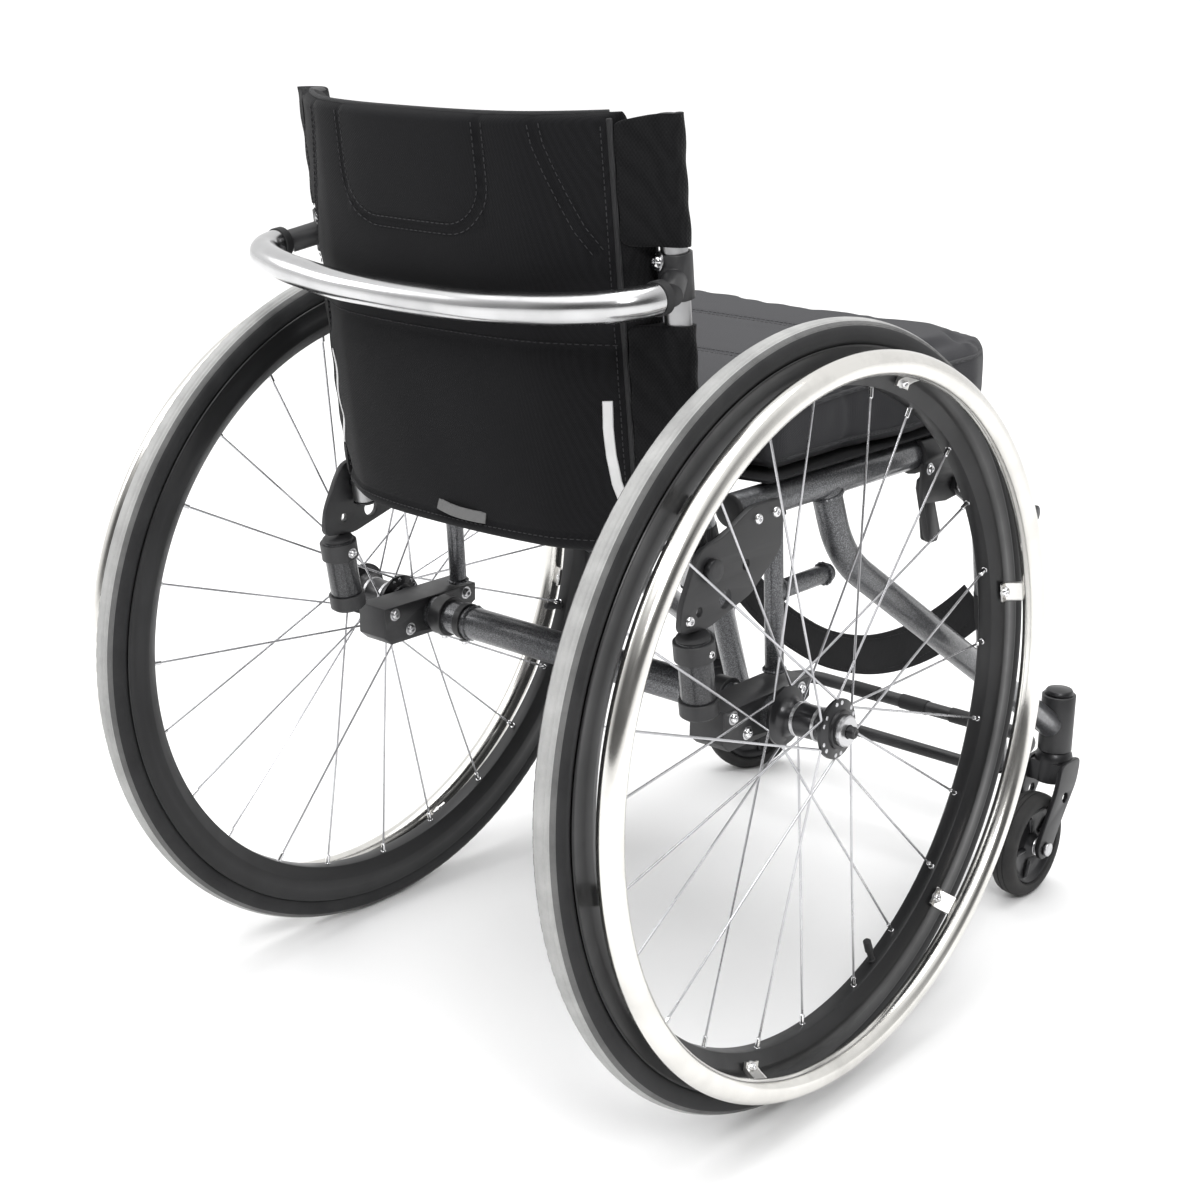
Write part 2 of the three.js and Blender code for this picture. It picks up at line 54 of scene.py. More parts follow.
AXLE = Vector(JOINTS["wheel_spin_left"]["pos_m"])
SIDES = (("left", 1), ("right", -1))


def at(x, y, z):
    """A point given in chair millimetres, in the row frame."""
    return Vector((x * MM, AXLE.y + y * MM, z * MM))


# ------------------------------------------------------------------ camera

CAMERA = at(-1015, 1158, 835)
TARGET = at(35.6, -69.3, 320.8)
CAMERA_ROLL = math.radians(0.73)
CAMERA_LENS = 59.84


def make_camera():
    data = bpy.data.cameras.new("camera")
    data.lens = CAMERA_LENS
    data.sensor_width = 36
    camera = bpy.data.objects.new("camera", data)
    look = (TARGET - CAMERA).to_track_quat("-Z", "Y").to_matrix().to_4x4()
    camera.matrix_world = Matrix.Translation(CAMERA) @ look @ Matrix.Rotation(CAMERA_ROLL, 4, "Z")
    bpy.context.collection.objects.link(camera)
    bpy.context.scene.camera = camera


make_camera()

# ------------------------------------------------------------------ material helpers


class Nodes:
    """A small builder for the nodes of one material or world, round its given shader node."""

    def __init__(self, owner, shader):
        owner.use_nodes = True
        self.tree = owner.node_tree
        self.shader = self.tree.nodes[shader]
        self.space = self.add("TexCoord").outputs["Object"]

    def add(self, kind, inputs=None, **settings):
        node = self.tree.nodes.new("ShaderNode" + kind)
        for key, value in settings.items():
            setattr(node, key, value)
        for key, value in (inputs or {}).items():
            self.feed(node.inputs[key], value)
        return node

    def feed(self, socket, value):
        if isinstance(value, bpy.types.NodeSocket):
            self.tree.links.new(value, socket)
        elif isinstance(value, (tuple, list)) and len(value) == 3 and socket.type == "RGBA":
            socket.default_value = (*value, 1)
        else:
            socket.default_value = value

    def set(self, **values):
        for key, value in values.items():
            self.feed(self.shader.inputs[key.replace("_", " ")], value)

    def noise(self, scale, detail=3, roughness=0.5, vector=None):
        return self.add("TexNoise", {
            "Vector": vector or self.space, "Scale": scale, "Detail": detail,
            "Roughness": roughness,
        }).outputs["Fac"]

    def spread(self, value, low, high, start=0.3, end=0.7):
        """value from start..end mapped to low..high."""
        return self.add("MapRange", {
            "Value": value, "From Min": start, "From Max": end, "To Min": low, "To Max": high,
        }).outputs["Result"]

    def ramp(self, value, stops):
        node = self.add("ValToRGB", {"Fac": value})
        ramp = node.color_ramp
        while len(ramp.elements) < len(stops):
            ramp.elements.new(0.5)
        for element, (position, colour) in zip(ramp.elements, stops):
            element.position = position
            element.color = (*colour, 1)
        return node.outputs["Color"]

    def mix(self, amount, a, b):
        node = self.add("Mix", data_type="RGBA")
        self.feed(node.inputs[0], amount)
        self.feed(node.inputs[6], a)
        self.feed(node.inputs[7], b)
        return node.outputs[2]

    def maths(self, operation, a, b=0.0):
        node = self.add("Math", operation=operation)
        self.feed(node.inputs[0], a)
        self.feed(node.inputs[1], b)
        return node.outputs[0]

    def bump(self, height, distance, strength=1.0, under=None):
        node = self.add("Bump", {"Height": height, "Distance": distance, "Strength": strength})
        if under is not None:
            self.feed(node.inputs["Normal"], under)
        return node.outputs["Normal"]


class Material(Nodes):
    """The nodes of a new Principled material."""

    def __init__(self, name):
        self.material = bpy.data.materials.new(name)
        super().__init__(self.material, "Principled BSDF")


def metal(name, colour, rough, metallic=1.0, grain=900, coat=0.0, spread=0.06):
    """Bare or anodised metal with faint smears and a fine grain."""
    n = Material(name)
    smear = n.noise(18, 4, 0.6)
    fine = n.noise(grain, 2)
    tint = tuple(c * 0.82 for c in colour)
    n.set(
        Base_Color=n.ramp(smear, [(0.3, tint), (0.62, colour)]),
        Metallic=metallic, Roughness=n.spread(smear, rough + spread, rough - spread),
        Coat_Weight=coat, Coat_Roughness=0.12,
        Normal=n.bump(fine, 0.00003, 0.35),
    )
    return n.material


def flake_paint(name, colour, flake, rough):
    """Metallic paint: fine flakes under a clear coat, with slight dust and orange peel."""
    n = Material(name)
    cells = n.add("TexVoronoi", {"Vector": n.space, "Scale": 2600}).outputs["Color"]
    glint = n.add("SeparateColor", {"Color": cells}).outputs[0]
    dust = n.noise(9, 5, 0.62)
    base = n.mix(n.spread(glint, 0, 1, 0.55, 1), colour, flake)
    n.set(
        Base_Color=n.mix(n.spread(dust, 0, 0.16, 0.5, 0.8), base, (0.16, 0.155, 0.15)),
        Metallic=0.55, Roughness=n.spread(dust, rough - 0.04, rough + 0.1),
        Coat_Weight=0.6, Coat_Roughness=0.14,
        Normal=n.bump(n.noise(420, 1), 0.00004, 0.4),
    )
    return n.material


def powder_black(name, colour=(0.016, 0.016, 0.017), rough=0.42):
    """Satin black powder coat with a fine pebble and paler rubbed patches."""
    n = Material(name)
    wear = n.noise(34, 5, 0.65)
    n.set(
        Base_Color=n.ramp(wear, [(0.35, colour), (0.75, tuple(c * 2.1 for c in colour))]),
        Roughness=n.spread(wear, rough - 0.05, rough + 0.12), Specular_IOR_Level=0.5,
        Normal=n.bump(n.noise(1300, 2), 0.00006, 0.5),
    )
    return n.material


def rubber(name, dark, light, rough=0.82, pit=700):
    """Matt rubber or moulded grip, scuffed between two tones."""
    n = Material(name)
    scuff = n.noise(26, 6, 0.66)
    n.set(
        Base_Color=n.ramp(scuff, [(0.28, dark), (0.72, light)]),
        Roughness=n.spread(scuff, rough - 0.08, rough + 0.08), Specular_IOR_Level=0.32,
        Normal=n.bump(n.noise(pit, 3), 0.00012, 0.55),
    )
    return n.material


def woven(name, dark, light, pitch, depth, sheen=0.05, blotch=12, fuzz=0.5):
    """Plain weave: two crossed sets of threads, worked out from the object's own position."""
    n = Material(name)
    across = n.add("SeparateXYZ", {"Vector": n.space}).outputs
    side = n.maths("ADD", across[0], across[1])
    turns = 2 * math.pi / pitch
    warp = n.maths("SINE", n.maths("MULTIPLY", side, turns))
    weft = n.maths("SINE", n.maths("MULTIPLY", across[2], turns))
    depth_way = n.maths("SINE", n.maths("MULTIPLY", n.maths("SUBTRACT", across[1], across[0]), turns))
    cloth = n.maths("MULTIPLY", n.maths("MULTIPLY", warp, weft), 0.5)
    cloth = n.maths("ADD", cloth, n.maths("MULTIPLY", depth_way, 0.25))
    height = n.maths("ADD", n.maths("MULTIPLY", cloth, 0.5), 0.5)
    patch = n.noise(blotch, 4, 0.6)
    thread = n.noise(1500, 2, 0.7)
    # The tone is painted darker in the weave's hollows, which is painted shade; the random blotches and
    # fuzz are the cloth's own tone.
    tone = n.maths("ADD", n.maths("MULTIPLY", height, 0.45), n.maths("MULTIPLY", patch, 0.35))
    tone = n.maths("ADD", tone, n.maths("MULTIPLY", thread, 0.3 * fuzz))
    n.set(
        Base_Color=n.ramp(tone, [(0.2, dark), (0.85, light)]),
        Roughness=n.spread(patch, 0.82, 0.96), Specular_IOR_Level=0.12,
        Sheen_Weight=sheen, Sheen_Roughness=0.45,
        Normal=n.bump(height, depth, 0.9, n.bump(patch, 0.0012, 0.35)),
    )
    return n.material


def ribbed(name, dark, light, pitch=0.0021, way=2):
    """Webbing: fine ribs across the strap."""
    n = Material(name)
    across = n.add("SeparateXYZ", {"Vector": n.space}).outputs
    turns = 2 * math.pi / pitch
    rib = n.maths("SINE", n.maths("MULTIPLY", n.maths("ADD", across[0], across[way]), turns))
    back = n.maths("SINE", n.maths("MULTIPLY", n.maths("SUBTRACT", across[0], across[way]), turns))
    height = n.maths("ADD", n.maths("MULTIPLY", n.maths("MULTIPLY", rib, back), 0.5), 0.5)
    # The colour is painted darker in the grooves between the ribs: painted shade.
    n.set(
        Base_Color=n.ramp(height, [(0.1, dark), (0.9, light)]),
        Roughness=0.78, Specular_IOR_Level=0.25, Sheen_Weight=0.05, Sheen_Roughness=0.4,
        Normal=n.bump(height, 0.0005, 0.8, n.bump(n.noise(60, 4), 0.0006, 0.4)),
    )
    return n.material


FRAME_PAINT = flake_paint("anthracite_flake", (0.050, 0.051, 0.055), (0.26, 0.265, 0.28), 0.36)
POST_PAINT = flake_paint("dark_flake", (0.020, 0.020, 0.022), (0.09, 0.092, 0.098), 0.38)
BLACK_PAINT = powder_black("black_powder_coat")
BLACK_ALLOY = metal("black_anodised", (0.030, 0.030, 0.032), 0.38, 0.6, coat=0.15)
HUB_ALLOY = metal("hub_anodised", (0.022, 0.022, 0.024), 0.34, 0.5, coat=0.3)
POLISHED = metal("polished_alloy", (0.80, 0.785, 0.75), 0.19, 1.0, grain=700)
RIM_PAINT = metal("rim_black_anodised", (0.018, 0.018, 0.019), 0.42, 0.35, coat=0.1, spread=0.09)
TAB_ALLOY = metal("tab_alloy", (0.78, 0.77, 0.75), 0.3, 1.0)
BAR_ALLOY = metal("bar_alloy", (0.60, 0.60, 0.605), 0.2, 1.0, grain=700)
CANE_ALLOY = metal("satin_alloy", (0.40, 0.40, 0.405), 0.34, 1.0)
STEEL = metal("brushed_steel", (0.60, 0.60, 0.61), 0.3, 1.0, grain=1400)
SPOKE_STEEL = metal("spoke_steel", (0.58, 0.58, 0.60), 0.28, 1.0, grain=1600)
CHROME = metal("bright_bolt", (0.82, 0.82, 0.83), 0.14, 1.0)
# Painted light: a bright metal finish for strips that stand in for light showing between the back panel
# and its wings
PAINTED_LIGHT = metal("painted_light_band", (0.80, 0.80, 0.80), 0.42, 0.35, grain=2400)
TREAD = rubber("tyre_tread", (0.30, 0.30, 0.297), (0.47, 0.47, 0.463), 0.84)
SHOULDER = rubber("tyre_shoulder", (0.09, 0.09, 0.09), (0.17, 0.17, 0.168), 0.8)
SIDEWALL = rubber("tyre_side_wall", (0.012, 0.012, 0.013), (0.032, 0.032, 0.033), 0.7)
CASTER_RUBBER = rubber("caster_rubber", (0.014, 0.014, 0.015), (0.045, 0.044, 0.043), 0.7)
GRIP = rubber("moulded_grip", (0.012, 0.012, 0.013), (0.03, 0.03, 0.031), 0.6, 900)
PLASTIC = powder_black("moulded_plastic", (0.012, 0.012, 0.013), 0.5)
BACK_CLOTH = woven("back_nylon", (0.0035, 0.0035, 0.004), (0.016, 0.016, 0.0175), 0.0021, 0.00035)
WING_CLOTH = woven("wing_spacer_mesh", (0.0025, 0.0025, 0.003), (0.017, 0.017, 0.018), 0.0034, 0.0006)
SEAT_CLOTH = woven("cushion_cover", (0.024, 0.024, 0.026), (0.064, 0.064, 0.069), 0.0019, 0.0003,
                   sheen=0.12, fuzz=1.0)
SLING_CLOTH = woven("sling_nylon", (0.010, 0.010, 0.011), (0.030, 0.030, 0.032), 0.0016, 0.0003)
WEBBING = ribbed("black_webbing", (0.009, 0.009, 0.010), (0.042, 0.042, 0.044))
PIPING = ribbed("piping", (0.012, 0.012, 0.013), (0.05, 0.05, 0.052), 0.0012)
THREAD = ribbed("thread", (0.022, 0.022, 0.024), (0.06, 0.06, 0.064), 0.0008)
SEAT_PIPING = ribbed("seat_piping", (0.03, 0.03, 0.032), (0.09, 0.09, 0.095), 0.0012)
SEAT_THREAD = ribbed("seat_thread", (0.07, 0.07, 0.075), (0.16, 0.16, 0.165), 0.0008)
GREY_TAPE = ribbed("grey_tape", (0.12, 0.12, 0.12), (0.24, 0.24, 0.24), 0.0016)

# ------------------------------------------------------------------ mesh helpers


def smooth(obj, angle=34):
    """Smooth shading with hard edges kept where the surface turns by more than angle."""
    limit = math.radians(angle)
    mesh = bmesh.new()
    mesh.from_mesh(obj.data)
    for face in mesh.faces:
        face.smooth = True
    for edge in mesh.edges:
        edge.smooth = len(edge.link_faces) == 2 and edge.calc_face_angle(0) < limit
    mesh.to_mesh(obj.data)
    mesh.free()
    return obj


def new_object(name, vertices, faces, *materials):
    mesh = bpy.data.meshes.new(name)
    mesh.from_pydata([tuple(v) for v in vertices], [], faces)
    mesh.validate()
    for material in materials:
        mesh.materials.append(material)
    obj = bpy.data.objects.new(name, mesh)
    bpy.context.collection.objects.link(obj)
    return obj


def soften(obj):
    """One round of subdivision for a soft piece."""
    subdivision = obj.modifiers.new("soft", "SUBSURF")
    subdivision.levels = 1
    subdivision.render_levels = 1
    return obj


def solid(name, vertices, faces, material, angle=34):
    """A closed piece with its faces turned outwards, shaded smooth below an angle."""
    return smooth(fix_normals(new_object(name, vertices, faces, material)), angle)


def place(obj, body, slot, *nodes):
    """Says what the piece rides on, and the CAD nodes it stands for, which it hides; the finish slot is
    not used.
    """
    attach(obj, body)
    if nodes:
        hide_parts(*nodes)
    return obj


def grid_faces(rows, columns, wrap_rows=False, wrap_columns=True):
    """Quads over a grid of rows x columns of points."""
    faces = []
    for i in range(rows if wrap_rows else rows - 1):
        for j in range(columns if wrap_columns else columns - 1):
            a = i * columns + j
            b = i * columns + (j + 1) % columns
            c = ((i + 1) % rows) * columns + (j + 1) % columns
            d = ((i + 1) % rows) * columns + j
            faces.append((a, b, c, d))
    return faces


def capped_grid(rows, columns):
    """Quads over rings of points, with a face over each end ring."""
    last = (rows - 1) * columns
    return grid_faces(rows, columns) + [
        tuple(range(columns - 1, -1, -1)), tuple(range(last, last + columns)),
    ]


def facing(point, direction):
    """Frame at a point, its X axis along a direction."""
    turn = direction.normalized().to_track_quat("X", "Z").to_matrix().to_4x4()
    return Matrix.Translation(point) @ turn


def mirrored(half):
    """A profile of (axial, radius) points carried on as its own mirror image."""
    return half + [(-axial, radius) for axial, radius in reversed(half)]


def lathe(name, profile, matrix, material, segments=96):
    """Turns a closed profile of (axial, radius) points in mm about the matrix's X axis."""
    vertices = []
    for axial, radius in profile:
        for k in range(segments):
            a = 2 * math.pi * k / segments
            vertices.append(matrix @ Vector((
                axial * MM, radius * MM * math.cos(a), radius * MM * math.sin(a),
            )))
    return solid(name, vertices, grid_faces(len(profile), segments, wrap_rows=True), material)


def around(radius, angle, axial=0.0):
    """A point of a turned piece in its own frame, in mm, as a vector in metres."""
    return Vector((axial, radius * math.cos(angle), radius * math.sin(angle))) * MM


def fix_normals(obj):
    mesh = bmesh.new()
    mesh.from_mesh(obj.data)
    bmesh.ops.remove_doubles(mesh, verts=mesh.verts, dist=1e-7)
    bmesh.ops.recalc_face_normals(mesh, faces=mesh.faces)
    mesh.to_mesh(obj.data)
    mesh.free()
    return obj


def rounded(points, reach, steps=8):
    """A polyline with its corners rounded by curves of the given reach, in the points' units."""
    points = [Vector(p) for p in points]
    path = [points[0]]
    for before, corner, after in zip(points, points[1:], points[2:]):
        start = corner + (before - corner).normalized() * reach
        end = corner + (after - corner).normalized() * reach
        for k in range(steps + 1):
            t = k / steps
            path.append(start * (1 - t) ** 2 + corner * 2 * t * (1 - t) + end * t ** 2)
    path.append(points[-1])
    return path


def frames_along(path, up=Vector((0, 0, 1))):
    """A steady pair of side directions at each point of a path."""
    tangents = []
    for i in range(len(path)):
        before = path[max(i - 1, 0)]
        after = path[min(i + 1, len(path) - 1)]
        tangents.append((after - before).normalized())
    side = tangents[0].cross(up)
    if side.length < 0.1:
        side = tangents[0].cross(Vector((1, 0, 0)))
    result = []
    for tangent in tangents:
        side = (side - tangent * side.dot(tangent)).normalized()
        result.append((side, tangent.cross(side)))
    return result


def sweep(name, path, section, material, caps=True):
    """Sweeps a closed section, given as (side, up) pairs in mm or a function of 0..1, along a path."""
    vertices = []
    count = len(section(0) if callable(section) else section)
    for i, (point, (side, up)) in enumerate(zip(path, frames_along(path))):
        ring = section(i / (len(path) - 1)) if callable(section) else section
        for a, b in ring:
            vertices.append(point + side * a * MM + up * b * MM)
    faces = capped_grid(len(path), count) if caps else grid_faces(len(path), count)
    return solid(name, vertices, faces, material)


def ring_section(radius, sides=32):
    return [
        (radius * math.cos(2 * math.pi * k / sides), radius * math.sin(2 * math.pi * k / sides))
        for k in range(sides)
    ]


def tube(path, radius, material, sides=32):
    """A tube with softly rounded ends."""
    start, end = path[0], path[-1]
    nose = min(1.2, radius * 0.3)
    first = (path[1] - start).normalized() * nose * MM
    last = (path[-2] - end).normalized() * nose * MM
    full = [start, start + first * 0.3, start + first, *path[1:-1], end + last, end + last * 0.3, end]
    count = len(full)
    radii = [radius - nose, radius - nose * 0.3, radius]
    radii += [radius] * (count - 6)
    radii += [radius, radius - nose * 0.3, radius - nose]

    def section(t):
        return ring_section(radii[round(t * (count - 1))], sides)

    return sweep("tube", full, section, material)


def rod(start, end, radius, material, sides=32):
    return tube([start, start.lerp(end, 0.5), end], radius, material, sides)


def join(name, objects):
    """Joins several loose meshes into one object."""
    vertices, faces, indices, materials = [], [], [], []
    flags = []
    for obj in objects:
        base = len(vertices)
        mesh = obj.data
        vertices.extend(v.co.copy() for v in mesh.vertices)
        for polygon in mesh.polygons:
            faces.append([base + i for i in polygon.vertices])
            material = mesh.materials[polygon.material_index]
            if material not in materials:
                materials.append(material)
            indices.append(materials.index(material))
            flags.append(polygon.use_smooth)
        bpy.data.objects.remove(obj)
    mesh = bpy.data.meshes.new(name)
    mesh.from_pydata([tuple(v) for v in vertices], [], faces)
    for material in materials:
        mesh.materials.append(material)
    mesh.polygons.foreach_set("material_index", indices)
    mesh.polygons.foreach_set("use_smooth", flags)
    obj = bpy.data.objects.new(name, mesh)
    bpy.context.collection.objects.link(obj)
    return smooth(obj)


def plate(name, outline, x0, x1, material, holes=(), bevel=0.8, corner=3.0):
    """A bevelled plate in the YZ plane between two x values, with round holes (y, z, radius)."""
    curve = bpy.data.curves.new(name, "CURVE")
    curve.dimensions = "2D"
    curve.fill_mode = "BOTH"
    thickness = abs(x1 - x0)
    curve.extrude = (thickness / 2 - bevel) * MM
    curve.bevel_depth = bevel * MM
    curve.bevel_resolution = 3
    loops = [round_outline(outline, corner, bevel)]
    for y, z, r in holes:
        grown = r + bevel
        loops.append([
            (y + grown * math.cos(-a), z + grown * math.sin(-a))
            for a in (2 * math.pi * k / 40 for k in range(40))
        ])
    for loop in loops:
        spline = curve.splines.new("POLY")
        spline.points.add(len(loop) - 1)
        for point, (y, z) in zip(spline.points, loop):
            point.co = (y * MM, z * MM, 0, 1)
        spline.use_cyclic_u = True
    source = bpy.data.objects.new(name + "_curve", curve)
    bpy.context.collection.objects.link(source)
    bpy.context.view_layer.update()
    mesh = bpy.data.meshes.new_from_object(source.evaluated_get(bpy.context.evaluated_depsgraph_get()))
    bpy.data.objects.remove(source)
    turn = Matrix(((0, 0, 1, (x0 + x1) / 2 * MM), (1, 0, 0, AXLE.y), (0, 1, 0, 0), (0, 0, 0, 1)))
    mesh.transform(turn)
    mesh.materials.clear()
    mesh.materials.append(material)
    obj = bpy.data.objects.new(name, mesh)
    bpy.context.collection.objects.link(obj)
    return smooth(fix_normals(obj), 28)


def round_outline(outline, corner, inset):
    """The outline with rounded corners, drawn in by inset."""
    centre = Vector((
        sum(p[0] for p in outline) / len(outline), sum(p[1] for p in outline) / len(outline),
    ))
    points = [Vector(p) for p in outline]
    result = []
    for i, point in enumerate(points):
        before = points[i - 1]
        after = points[(i + 1) % len(points)]
        reach = min(corner, (before - point).length * 0.45, (after - point).length * 0.45)
        start = point + (before - point).normalized() * reach
        end = point + (after - point).normalized() * reach
        for k in range(5):
            t = k / 4
            result.append(start * (1 - t) ** 2 + point * 2 * t * (1 - t) + end * t ** 2)
    return [tuple(p + (centre - p).normalized() * inset) for p in result]


def hex_bolt(place_at, direction, head, height, material=CHROME):
    """A button-head bolt with a hexagon socket and a washer, its head facing direction."""
    matrix = facing(place_at, direction)
    dome = [(0, 0.01), (0, head)]
    dome += [
        (height * math.sin(a), head * (0.55 + 0.45 * math.cos(a)))
        for a in (math.pi / 2 * k / 6 for k in range(1, 7))
    ]
    socket = head * 0.42
    dome += [(height, socket), (height * 0.35, socket * 0.98), (height * 0.3, 0.01)]
    washer = [
        (-1.2, head * 0.5), (-1.2, head * 1.32), (-0.3, head * 1.38), (0.05, head * 1.3),
        (0.05, head * 0.5),
    ]
    return join("bolt", [
        lathe("head", dome, matrix, material, 24), lathe("washer", washer, matrix, STEEL, 28),
    ])


def side_bolt(s, x, y, z, head, height, inwards=False, material=CHROME):
    """A bolt through an upright plate, its head facing away from the chair or towards its middle."""
    return hex_bolt(at(s * x, y, z), Vector((-s if inwards else s, 0, 0)), head, height, material)


# ------------------------------------------------------------------ rear wheels

TYRE_R = 300
TYRE_TUBE = 12
TREAD_EDGE, SHOULDER_EDGE = 0.58, 0.99      # angles round the tyre's section, in radians
SPOKES = 24
TAB_PHASE = math.radians(10)


def wheel_matrix(side, s):
    """The wheel's own frame: X along the axle away from the chair, Y level, Z up the wheel."""
    joint = JOINTS["wheel_spin_" + side]
    out = Vector(joint["axis"]).normalized() * s
    level = Vector((0, s, 0))
    turn = Matrix((out, level, out.cross(level))).transposed().to_4x4()
    return Matrix.Translation(Vector(joint["pos_m"])) @ turn


def tyre_profile():
    """Section of the tyre from one bead over the tread to the other, with two tread grooves."""
    points = []
    for k in range(61):
        a = -2.62 + 5.24 * k / 60
        radius = TYRE_TUBE
        groove = min(abs(abs(a) - 0.24), abs(abs(a) - 0.56))
        if groove < 0.05:
            radius -= 0.55
        if abs(abs(a) - 0.98) < 0.05:
            radius -= 0.35
        if 1.5 < abs(a) < 1.62:
            radius += 0.15
        points.append((radius * math.sin(a), TYRE_R - TYRE_TUBE + radius * math.cos(a)))
    return points


def tyre(side, matrix):
    profile = tyre_profile()
    obj = lathe("tyre_looks_" + side, profile, matrix, SIDEWALL, 240)
    obj.data.materials.append(TREAD)
    obj.data.materials.append(SHOULDER)
    inverse = matrix.inverted()
    for polygon in obj.data.polygons:
        place_in = inverse @ polygon.center
        radius = math.hypot(place_in.y, place_in.z) / MM - (TYRE_R - TYRE_TUBE)
        angle = abs(math.atan2(place_in.x / MM, radius))
        polygon.material_index = 1 if angle < TREAD_EDGE else 2 if angle < SHOULDER_EDGE else 0
    return obj


def knobs(side, matrix):
    """The short raised bars along both shoulders of the tread."""
    vertices, faces = [], []
    count = 150
    sunk, proud, outer_proud = (11.7, 11.7, 0), (12.02, 12.18, 0.12), (12.02, 12.12, 0.12)
    corners = [
        (-0.35, 0.64, sunk), (0.35, 0.66, sunk), (0.35, 0.92, sunk), (-0.35, 0.90, sunk),
        (-0.28, 0.67, proud), (0.28, 0.69, proud),
        (0.28, 0.89, outer_proud), (-0.28, 0.87, outer_proud),
    ]
    for row in (-1, 1):
        for k in range(count):
            middle = k + (0.5 if row > 0 else 0)
            base = len(vertices)
            for turn, swing, (out, across, lift) in corners:
                angle = 2 * math.pi * (middle + turn) / count
                radius = TYRE_R - TYRE_TUBE + out * math.cos(swing) + lift
                vertices.append(matrix @ around(radius, angle, row * across * math.sin(swing)))
            for face in ((4, 5, 6, 7), (0, 1, 5, 4), (1, 2, 6, 5), (2, 3, 7, 6), (3, 0, 4, 7)):
                faces.append(tuple(base + i for i in face))
    return new_object("tread_bars_" + side, vertices, faces, SHOULDER)


def rim(side, matrix):
    """Deep aero-section rim with rounded shoulders."""
    profile = mirrored([
        (-5.2, 251.2), (-6.2, 251.6), (-8.4, 255.0), (-12.0, 261.4), (-12.4, 262.6), (-12.4, 270),
        (-12.25, 270.4), (-12.25, 279.4), (-12.4, 279.8), (-12.3, 281.0), (-11.6, 281.5),
        (-10.6, 281.0), (-9.4, 278.6), (-5.5, 276.0),
    ])
    return lathe("rim_looks_" + side, profile, matrix, RIM_PAINT, 240)


def spoke_ends(i):
    """The hub end and rim end of spoke i in the wheel's frame, and which flange it leaves."""
    flange = 1 if i % 2 else -1
    lean = 0.95 if (i // 2) % 2 else -0.95
    angle = 2 * math.pi * i / SPOKES
    hub_end = around(20.0, angle + lean, flange * 22.0)
    rim_end = around(252.5, angle, flange * 2.0)
    return hub_end, rim_end, flange


def spokes(side, matrix):
    wires = []
    nipples = []
    for i in range(SPOKES):
        hub_end, rim_end, flange = spoke_ends(i)
        head = hub_end + Vector((flange * 3.4, 0, 0)) * MM
        start = hub_end + Vector((flange * 1.6, 0, 0)) * MM
        bend = hub_end + (rim_end - hub_end).normalized() * 3 * MM + Vector((flange * 1.2, 0, 0)) * MM
        path = [matrix @ p for p in (start, bend, hub_end.lerp(rim_end, 0.5), rim_end)]
        wires.append(tube(path, 0.95, SPOKE_STEEL, 10))
        wires.append(rod(matrix @ head, matrix @ start, 1.9, SPOKE_STEEL, 12))
        along = (hub_end - rim_end).normalized()
        nipples.append(sweep("nipple", [
            matrix @ (rim_end + along * t * MM) for t in (-1.0, 1.6, 1.7, 8.6, 9.4)
        ], lambda t: ring_section(2.5 if t < 0.3 else 1.9 if t < 0.9 else 1.3, 12), CHROME))
    return join("spokes_looks_" + side, wires), join("spoke_nipples_" + side, nipples)


def hub(side, matrix):
    """Black hub shell with two flanges, two bright bands and a seal at each end."""
    profile = mirrored([
        (-29, 6.7), (-29, 13.6), (-28.2, 14.6), (-26.2, 15.2), (-25.4, 16.4), (-25.0, 22.0),
        (-24.3, 23.0), (-21.9, 23.0), (-21.2, 22.2), (-20.6, 17.6), (-18.6, 15.0), (-15.6, 13.9),
        (-14.0, 13.0),
    ])
    parts = [lathe("shell", profile, matrix, HUB_ALLOY, 64)]
    for x in (-9.5, 9.5):
        parts.append(lathe("band", [
            (x - 1.6, 12.9), (x - 1.3, 13.5), (x + 1.3, 13.5), (x + 1.6, 12.9),
        ], matrix, STEEL, 64))
    for x in (-28.6, 28.6):
        step = 1 if x > 0 else -1
        parts.append(lathe("seal", [
            (x, 12.4), (x + step * 1.4, 12.0), (x + step * 1.6, 9.2), (x, 8.8),
        ], matrix, PLASTIC, 48))
    return join("hub_looks_" + side, parts)


def pushrim(side, matrix):
    """Polished hand rim with six bent tabs, each screwed to the rim."""
    section = [
        (35 + 9.45 * math.sin(2 * math.pi * k / 36), 271 + 9.45 * math.cos(2 * math.pi * k / 36))
        for k in range(36)
    ]
    ring = lathe("ring", section, matrix, POLISHED, 256)
    parts = [ring]
    outline = [(12.6, 256.3), (13.3, 262.6), (17.5, 265.4), (30.2, 270.4), (31.0, 268.2), (18.6, 262.6),
               (15.2, 260.4), (14.6, 256.0)]
    for k in range(6):
        angle = TAB_PHASE + 2 * math.pi * k / 6
        vertices = []
        steps = (-8.0, -7.4, -6.6, 6.6, 7.4, 8.0)
        for step in steps:
            inset = 0.35 if abs(step) > 7.6 else 0.0
            for axial, radius in outline:
                turn = angle + step / radius
                vertices.append(matrix @ around(radius - inset, turn, axial))
        parts.append(solid("tab", vertices, capped_grid(len(steps), len(outline)), TAB_ALLOY))
        head = matrix @ around(259.6, angle, 15.4)
        out = matrix.to_3x3() @ Vector((0.86, -0.5 * math.cos(angle), -0.5 * math.sin(angle)))
        parts.append(hex_bolt(head, out, 3.6, 2.4))
    return join("pushrim_looks_" + side, parts)


def valve(side, matrix, angle):
    """Black valve stem and cap pointing from the rim towards the hub."""
    inward = [(252, 3.4), (249, 3.4), (248.6, 2.6), (240, 2.6), (239.6, 3.5), (229, 3.3), (227.6, 2.0)]
    path = [matrix @ around(radius, angle) for radius, _ in inward]
    size = [r for _, r in inward]
    return sweep("valve_" + side, path, lambda t: ring_section(
        size[min(int(t * (len(size) - 1) + 0.5), len(size) - 1)], 16), GRIP)


